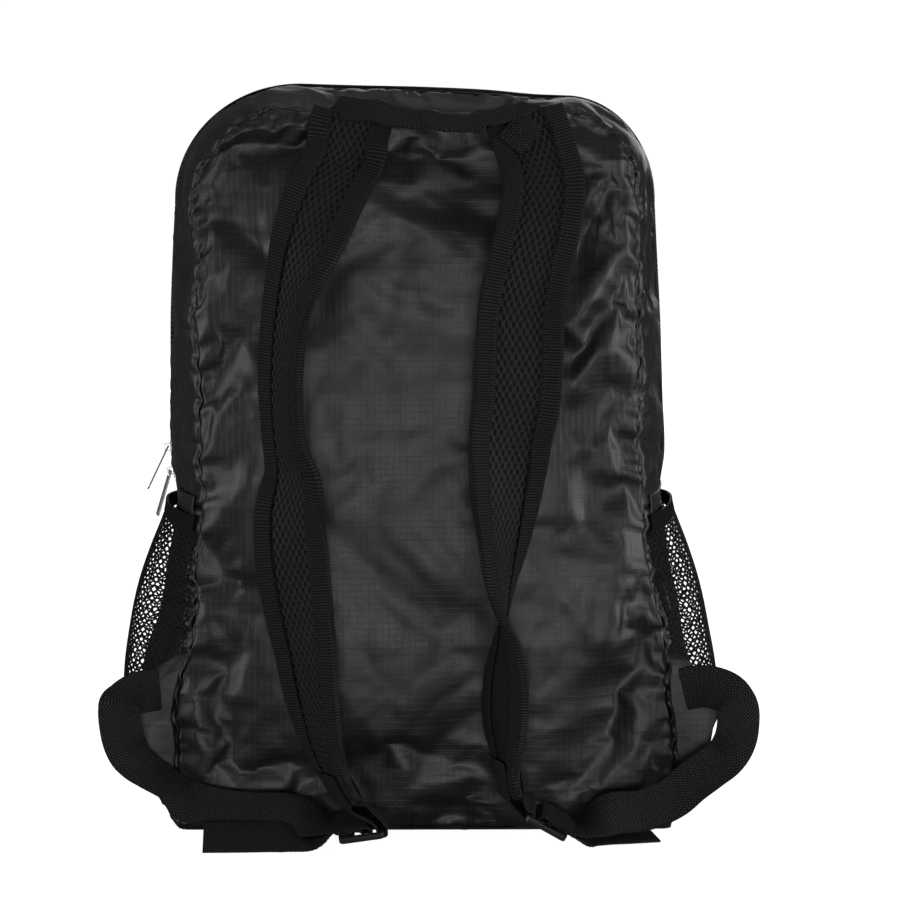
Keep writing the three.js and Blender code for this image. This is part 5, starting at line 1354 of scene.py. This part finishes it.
def loop_stations(side, strap):
    """The folded webbing at a strap's end, sewn over it and round the lock's strap bar."""
    lock = lock_frame(LOCKS[side])
    reach = SEAT_GAP + WEBBING_THICKNESS / 2
    seat = STRAP_THICKNESS / 2 + BINDING_THICKNESS + 4 * SEAT_GAP + reach
    total = strap["length"][-1]
    layers = []
    for n in (1, 0):
        length = total * (1 - n / STRAP_CAD_STEPS)
        middle = on_band(strap, length, 0.0, 0.0)
        across = between(length, strap["length"], strap["across"])
        face = between(length, strap["length"], strap["face"])
        layers.append([(middle + unit(face) * sign * seat, unit(across)) for sign in (-1, 1)])
    onward = []
    for before, last in zip(*layers):
        step = unit(last[0] - before[0]) * 2 * WEBBING_THICKNESS
        onward.append((last[0] + step, last[1]))
    layers.append(onward)
    facing = np.sign(layers[1][0][1] @ lock["across"])
    over = LOCK_THICKNESS / 2 + reach
    if side == "left":
        first = [(-1.5 * reach, over), (-1.2 * reach, 0)]
        last = [(LOCK_BAR + reach, LOCK_THICKNESS / 2), (LOCK_BAR + 2 * reach, over + 2 * reach)]
    else:
        first = [(-2 * reach, -over)]
        last = [(LOCK_BAR + reach, LOCK_THICKNESS / 2), (LOCK_BAR, over + SEAT_GAP),
                (-reach, over + SEAT_GAP)]
    turn = [(lock_point(lock, a, o), lock["across"] * facing) for a, o in first + turn_under(0) + last]
    return [pair[0] for pair in layers] + turn + [pair[1] for pair in layers][::-1]


def round_edges(piece, radius, segments, sharp):
    """Rounds the edges of a piece that turn by more than an angle in degrees."""
    bevel = piece.modifiers.new("rounded edges", "BEVEL")
    bevel.width = radius * MM
    bevel.segments = segments
    bevel.angle_limit = math.radians(sharp)


def rounded_outline(along_from, along_to, half, radius):
    """The corners of a rectangle with round corners, even to both sides."""
    turn = np.linspace(0, np.pi / 2, 6)
    low, high, side = along_from + radius, along_to - radius, half - radius
    corners = []
    for n, (along, across) in enumerate(((high, side), (low, side), (low, -side), (high, -side))):
        angle = turn + n * np.pi / 2
        corners.append(np.stack([along + radius * np.cos(angle), across + radius * np.sin(angle)], -1))
    return np.concatenate(corners)


def lock_piece(side):
    """A ladder lock: two rails, three bars and a thumb plate, with moulded round edges."""
    lock = lock_frame(LOCKS[side])
    outlines = [rounded_outline(0, LOCK_LENGTH, LOCK_INSIDE / 2 + LOCK_RAIL, LOCK_BAR)]
    for slot in (LOCK_BAR, 2 * LOCK_BAR + LOCK_SLOT):
        outlines.append(rounded_outline(slot, slot + LOCK_SLOT, LOCK_INSIDE / 2, LOCK_SLOT / 8))
    build = bmesh.new()
    edges = []
    for outline in outlines:
        corners = [build.verts.new((x, y, 0)) for x, y in outline]
        edges += [build.edges.new((a, b)) for a, b in zip(corners, corners[1:] + corners[:1])]
    bmesh.ops.triangle_fill(build, edges=edges, use_beauty=True)
    top = bmesh.ops.extrude_face_region(build, geom=build.faces[:])["geom"]
    for vertex in [part for part in top if isinstance(part, bmesh.types.BMVert)]:
        vertex.co.z = LOCK_THICKNESS
    bmesh.ops.recalc_face_normals(build, faces=build.faces[:])
    along, across = lock["along"], lock["across"]
    out = np.cross(along, across)
    for vertex in build.verts:
        x, y, z = vertex.co
        place = lock["middle"] + along * (x - LOCK_LENGTH / 2) + across * y + out * (z - LOCK_THICKNESS / 2)
        vertex.co = place * MM
    mesh = bpy.data.meshes.new(f"lock_{side}")
    build.to_mesh(mesh)
    build.free()
    mesh.materials.append(ACETAL)
    mesh.shade_smooth()
    piece = bpy.data.objects.new(f"lock_{side}", mesh)
    bpy.context.scene.collection.objects.link(piece)
    round_edges(piece, LOCK_ROUNDING, 3, 40)
    finish_piece(piece, "moulded_plastic", f"ladder_lock_{side}")


for side, strap in straps.items():
    webbing = lay_webbing(webbing_stations(side), 0.5)
    webbing_piece(f"webbing_{side}", webbing, WEBBING_THICKNESS, f"adjust_webbing_{side}")
    loop = lay_webbing(loop_stations(side, strap), 0.6)
    webbing_piece(f"end_loop_{side}", loop, WEBBING_THICKNESS, f"strap_end_loop_{side}")
    lock_piece(side)


# The haul handle
def handle_band():
    """The haul handle along the top seam, which bows out and sags between its ends."""
    share = np.linspace(0, 1, 40)
    lean = np.radians(mix(*HANDLE_LEANS, share))
    across = np.stack([0 * lean, np.cos(lean), np.sin(lean)], -1)
    face = np.stack([0 * lean, -across[:, 2], across[:, 1]], -1)
    bow = np.sin(np.pi * share)
    walked = ROWS + np.linspace(0, COLUMNS, 200)
    seam = band_point(walked, 0.0)
    x = HANDLE_MIDDLE + HANDLE_SPAN * (share - 0.5)
    middles = np.stack([x, np.interp(x, seam[:, 0], seam[:, 1]), np.interp(x, seam[:, 0], seam[:, 2])], -1)
    middles = middles + face * (HANDLE_THICKNESS / 2 + 3 * SEAT_GAP) + across * HANDLE_WIDTH / 5
    middles[:, 1] -= bow * HANDLE_STANDOFF
    middles[:, 2] -= bow * HANDLE_SAG
    return lay_webbing(list(zip(middles, across)), 0.5, HANDLE_WIDTH)


def handle_end():
    """The handle's right end, folded down and sewn over the strap's top."""
    strap = straps["right"]
    length = np.linspace(HANDLE_END_FROM, HANDLE_END_TO, 4)
    out = STRAP_THICKNESS / 2 + BINDING_THICKNESS + HANDLE_THICKNESS
    middles = on_band(strap, length, HANDLE_END_SHIFT + HANDLE_END_SLANT * length, out)
    return lay_webbing([(middle, HANDLE_END_ACROSS) for middle in middles], 0.5, HANDLE_WIDTH)


webbing_piece("handle_webbing", handle_band(), HANDLE_THICKNESS, "haul_handle")
webbing_piece("handle_end", handle_end(), HANDLE_THICKNESS)


# The cloth tabs that hold the webbing
def wing_piece(side, sign):
    """A cloth tab that stands out of the lower side seam, crumpled between its edges."""
    rise = np.linspace(WINGS[0]["rise"], WINGS[-1]["rise"], 90)
    reach = column([{**row, "down": -row["rise"]} for row in WINGS], "down", "reach", -rise)
    seam = flank_skin(sign, rise * PACK_HEIGHT, 0.0, 0.0)[:, None]
    step = np.linspace(0, 1, 30)
    out = WING_GAP + reach[:, None] * WING_REACH * step
    wave = np.sin(rise * 40)[:, None] * step * 0.5
    x = seam[..., 0] + sign * out
    z = np.broadcast_to(seam[..., 2], x.shape)
    y = seam[..., 1] - WING_THICKNESS - WING_GAP - step + wave
    y = y + 0.8 * crumple(x, z, 53, 14, 16) * np.sin(np.pi * step)
    points = np.stack([x, y, z], -1)
    normals = np.broadcast_to(-THROUGH, points.shape)
    piece = closed_sheet(f"wing_cloth_{side}", points, normals, WING_THICKNESS, RIPSTOP, points[..., [0, 2]])
    finish_piece(piece, "ripstop_cloth", f"wing_{side}")


# The side pockets: open net that stands off the flank, with an elastic mouth.
def pocket_out(up, step):
    """How far a pocket stands off the flank, at shares up it and steps through the depth."""
    round_shape = np.sin(np.pi * step / DEPTH_STEPS) ** 0.7
    return POCKET_BULGE * column(NET_SWELL, "up", "out", up) * round_shape


def pocket_point(sign, up, step, out):
    """Points of a pocket's net, at shares up it, moved out by a distance."""
    height = mix(POCKET_FLOOR, POCKET_TOP - SEAT_GAP, up)
    return flank_skin(sign, height, step, 2 * SEAT_GAP + pocket_out(up, step) + out)


def net_piece(side, sign):
    """Hexagon net: threads between knots, each thread a thin four-sided bar."""
    columns, rows = int(NET_SPAN / NET_CELL), int(POCKET_HEIGHT / NET_ROW)
    row, cell = np.meshgrid(np.arange(rows + 1), np.arange(columns + 1), indexing="ij")
    odd = (row + cell) % 2 == 1
    up = np.clip((row + np.where(odd, 0.25, -0.25)) / rows, 0, 1).ravel()
    step = mix(POCKET_FROM, POCKET_TO, cell.ravel() / columns)
    knots = pocket_point(sign, up, step, NET_THREAD / 2)
    out = unit(pocket_point(sign, up, step, NET_THREAD / 2 + 1) - knots)
    number = np.arange(row.size).reshape(row.shape)
    level = np.stack([number[:, :-1], number[:, 1:]], -1).reshape(-1, 2)
    rising = np.stack([number[:-1], number[1:]], -1)[odd[:-1]]
    first, second = np.concatenate([level, rising]).T
    heading = unit(knots[second] - knots[first])
    overlap = heading * NET_THREAD * 0.3
    edge = unit(np.cross(heading, out[first]))
    corners = [knots[end] + shift + (edge * u + out[end] * v * 0.8) * NET_THREAD / 2
               for end, shift in ((first, -overlap), (second, overlap))
               for u, v in ((-1, -1), (1, -1), (1, 1), (-1, 1))]
    bar = tube_faces(2, 4).tolist() + [[3, 2, 1, 0], [4, 5, 6, 7]]
    faces = faces_of_copies(bar, len(first), len(corners))
    piece = new_piece(f"net_{side}", np.stack(corners, axis=1).reshape(-1, 3), faces, NET)
    finish_piece(piece, "net", f"pocket_net_{side}")


def elastic_piece(side, sign):
    """The pocket's mouth: ribbed elastic round the net's upper edge."""
    step = np.linspace(POCKET_FROM, POCKET_TO, 260)[None, :]
    height = np.linspace(POCKET_TOP, POCKET_TOP + ELASTIC_WIDTH, 14)[:, None]
    height, step = np.broadcast_arrays(height, step)
    out = 2 * SEAT_GAP + ELASTIC_THICKNESS + pocket_out(1.0, step)
    points, normals = flank_sheet(sign, height, step, out)
    uvs = laid_flat(points)
    ribs = ELASTIC_RIB_DEPTH * np.sin(2 * np.pi * uvs[..., 0] / ELASTIC_RIB) - 0.2
    points = points + normals * ribs[..., None]
    piece = closed_sheet(f"elastic_{side}", points, normals, ELASTIC_THICKNESS, ELASTIC, uvs)
    finish_piece(piece, "binding_tape", f"pocket_elastic_{side}")


def patch_piece(side, sign):
    """The sewn patch that closes an end of the zip."""
    step = np.linspace(0.5, TAPE_TO + 0.5, 120)[None, :]
    height = zip_end + np.linspace(-0.5, 0.5, 16)[:, None] * ZIP_PATCH_WIDTH
    height, step = np.broadcast_arrays(height, step)
    points, normals = flank_sheet(sign, height, step, 2 * SEAT_GAP + ZIP_PATCH_THICKNESS)
    piece = closed_sheet(f"zip_patch_{side}", points, normals, ZIP_PATCH_THICKNESS, RIPSTOP)
    finish_piece(piece, "ripstop_cloth", f"zip_end_patch_{side}")


for side, sign in (("left", -1), ("right", 1)):
    wing_piece(side, sign)
    net_piece(side, sign)
    elastic_piece(side, sign)
    patch_piece(side, sign)


# The zip's coil: interlocked turns of one nylon thread round a cord, sewn to the tape's middle.
def zip_route(count):
    """Points along the zip between its end patches, with the ways ahead and out of the tape."""
    start = flank_row(zip_end + ZIP_PATCH_WIDTH / 2 + SEAT_GAP)
    route = band_point(np.linspace(start, BAND_REACH - start, count), float(ZIP_MIDDLE))
    ahead = unit(np.gradient(route, axis=0))
    return route, ahead, facing_away(route, unit(np.cross(ahead, THROUGH)))


def coil_piece():
    """The coil's turns, which lie in from either side in turn and swell at the middle."""
    route, ahead, out = zip_route(1500)
    length = walked_along(route)
    count = int(length[-1] / TOOTH_PITCH)
    at = (np.arange(count) + 0.5) * TOOTH_PITCH
    middle, up, away = (between(at, length, values) for values in (route, ahead, out))
    up, away = unit(up), unit(away)
    side = np.where(np.arange(count) % 2, 1.0, -1.0)[:, None] * THROUGH
    edge = -ZIP_CHAIN_WIDTH / 2
    corners = []
    for reach, size in ((edge, 0.4), (edge + 0.5, 0.62), (0.4, 0.62), (0.9, 0.4)):
        for angle in np.linspace(0, 2 * np.pi, COIL_SIDES, endpoint=False):
            along = size * TOOTH_PITCH * 0.72 * math.cos(angle)
            height = SEAM_GAP + ZIP_CHAIN_HEIGHT * (0.5 + size * 0.8 * math.sin(angle))
            corners.append(middle + side * reach + up * along + away * height)
    faces = faces_of_copies(tube_faces(4, COIL_SIDES), count, len(corners))
    piece = new_piece("coil", np.stack(corners, axis=1).reshape(-1, 3), faces, COIL)
    finish_piece(piece, "zip_coil", "zip_chain")


def filler_cord():
    """The cord that the coil's turns wrap, under their whole run."""
    route, _, out = zip_route(600)
    turn = np.linspace(0, 2 * np.pi, FILLER_SIDES, endpoint=False)[None, :, None]
    middle = (route + out * ZIP_CHAIN_HEIGHT / 2)[:, None]
    rings = (middle + THROUGH * np.cos(turn) * ZIP_CHAIN_WIDTH * 0.36
             + out[:, None] * np.sin(turn) * ZIP_CHAIN_HEIGHT * 0.85)
    faces = tube_faces(len(route), FILLER_SIDES)
    finish_piece(new_piece("coil_filler", rings.reshape(-1, 3), faces, COIL), "zip_coil")


coil_piece()
filler_cord()

# Sliders and pulls keep their solids, with nickel plate and small worn edges.
for name in ("zip_slider_upper", "zip_slider_lower", "zip_pull_upper", "zip_pull_lower"):
    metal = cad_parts[name]
    for n in range(len(metal.material_slots)):
        metal.material_slots[n].material = NICKEL
    round_edges(metal, METAL_ROUNDING, 2, 35)


# A pale floor that runs up into a round backdrop, and soft studio light, placed in metres
PAPER_FLOOR = 3200
PAPER_CURVE = 1200
PAPER_WALL = 4500
PAPER_SIDES = 64
LIGHT_AIM = (0, 0, 0.2)


def stage_piece():
    """The paper: rings of corners from the middle of the floor out to the wall's top."""
    material = start_material("matt white paper", 0.9, "#c8c8c8", Emission_Color=(1, 1, 1, 1),
                              Emission_Strength=0.96)[0]
    run = [(PAPER_FLOOR * share, 0.0) for share in (0.02, 0.1, 0.3, 0.6)]
    run += [(PAPER_FLOOR + PAPER_CURVE * math.sin(a), PAPER_CURVE * (1 - math.cos(a)))
            for a in np.linspace(0, np.pi / 2, 12)]
    run.append((PAPER_FLOOR + PAPER_CURVE, PAPER_WALL))
    turns = np.linspace(0, 2 * np.pi, PAPER_SIDES, endpoint=False)
    corners = [(r * math.cos(a), r * math.sin(a), z) for r, z in run for a in turns]
    faces = tube_faces(len(run), PAPER_SIDES).tolist() + [list(range(PAPER_SIDES))[::-1]]
    piece = new_piece("paper", corners, faces, material)
    piece.visible_glossy = False
    piece.visible_diffuse = False


def softbox(name, place, size, power):
    """An area light that looks at the pack's middle."""
    data = bpy.data.lights.new(name, "AREA")
    data.shape = "RECTANGLE"
    data.size, data.size_y = size
    data.energy = power
    light = bpy.data.objects.new(name, data)
    bpy.context.scene.collection.objects.link(light)
    light.location = place
    light.rotation_euler = (Vector(LIGHT_AIM) - Vector(place)).to_track_quat("-Z", "Y").to_euler()


stage_piece()
world = bpy.data.worlds.new("studio")
bpy.context.scene.world = world
world.use_nodes = True
feed(world.node_tree, world.node_tree.nodes["Background"], {"Color": (1, 1, 1, 1), "Strength": 0.06})
softbox("softbox_front", (0.2, -2.6, 0.1), (1.3, 0.6), 24)
softbox("softbox_left", (-1.9, -0.9, 0.4), (0.8, 1.3), 19)
softbox("softbox_right", (1.9, -0.9, 0.4), (0.8, 1.3), 26)
softbox("softbox_top", (0, 0.2, 2.0), (1.6, 1.2), 5)
softbox("softbox_far", (0.5, 2.6, 0.8), (1.6, 1.0), 16)
bpy.context.scene.view_settings.view_transform = "Standard"
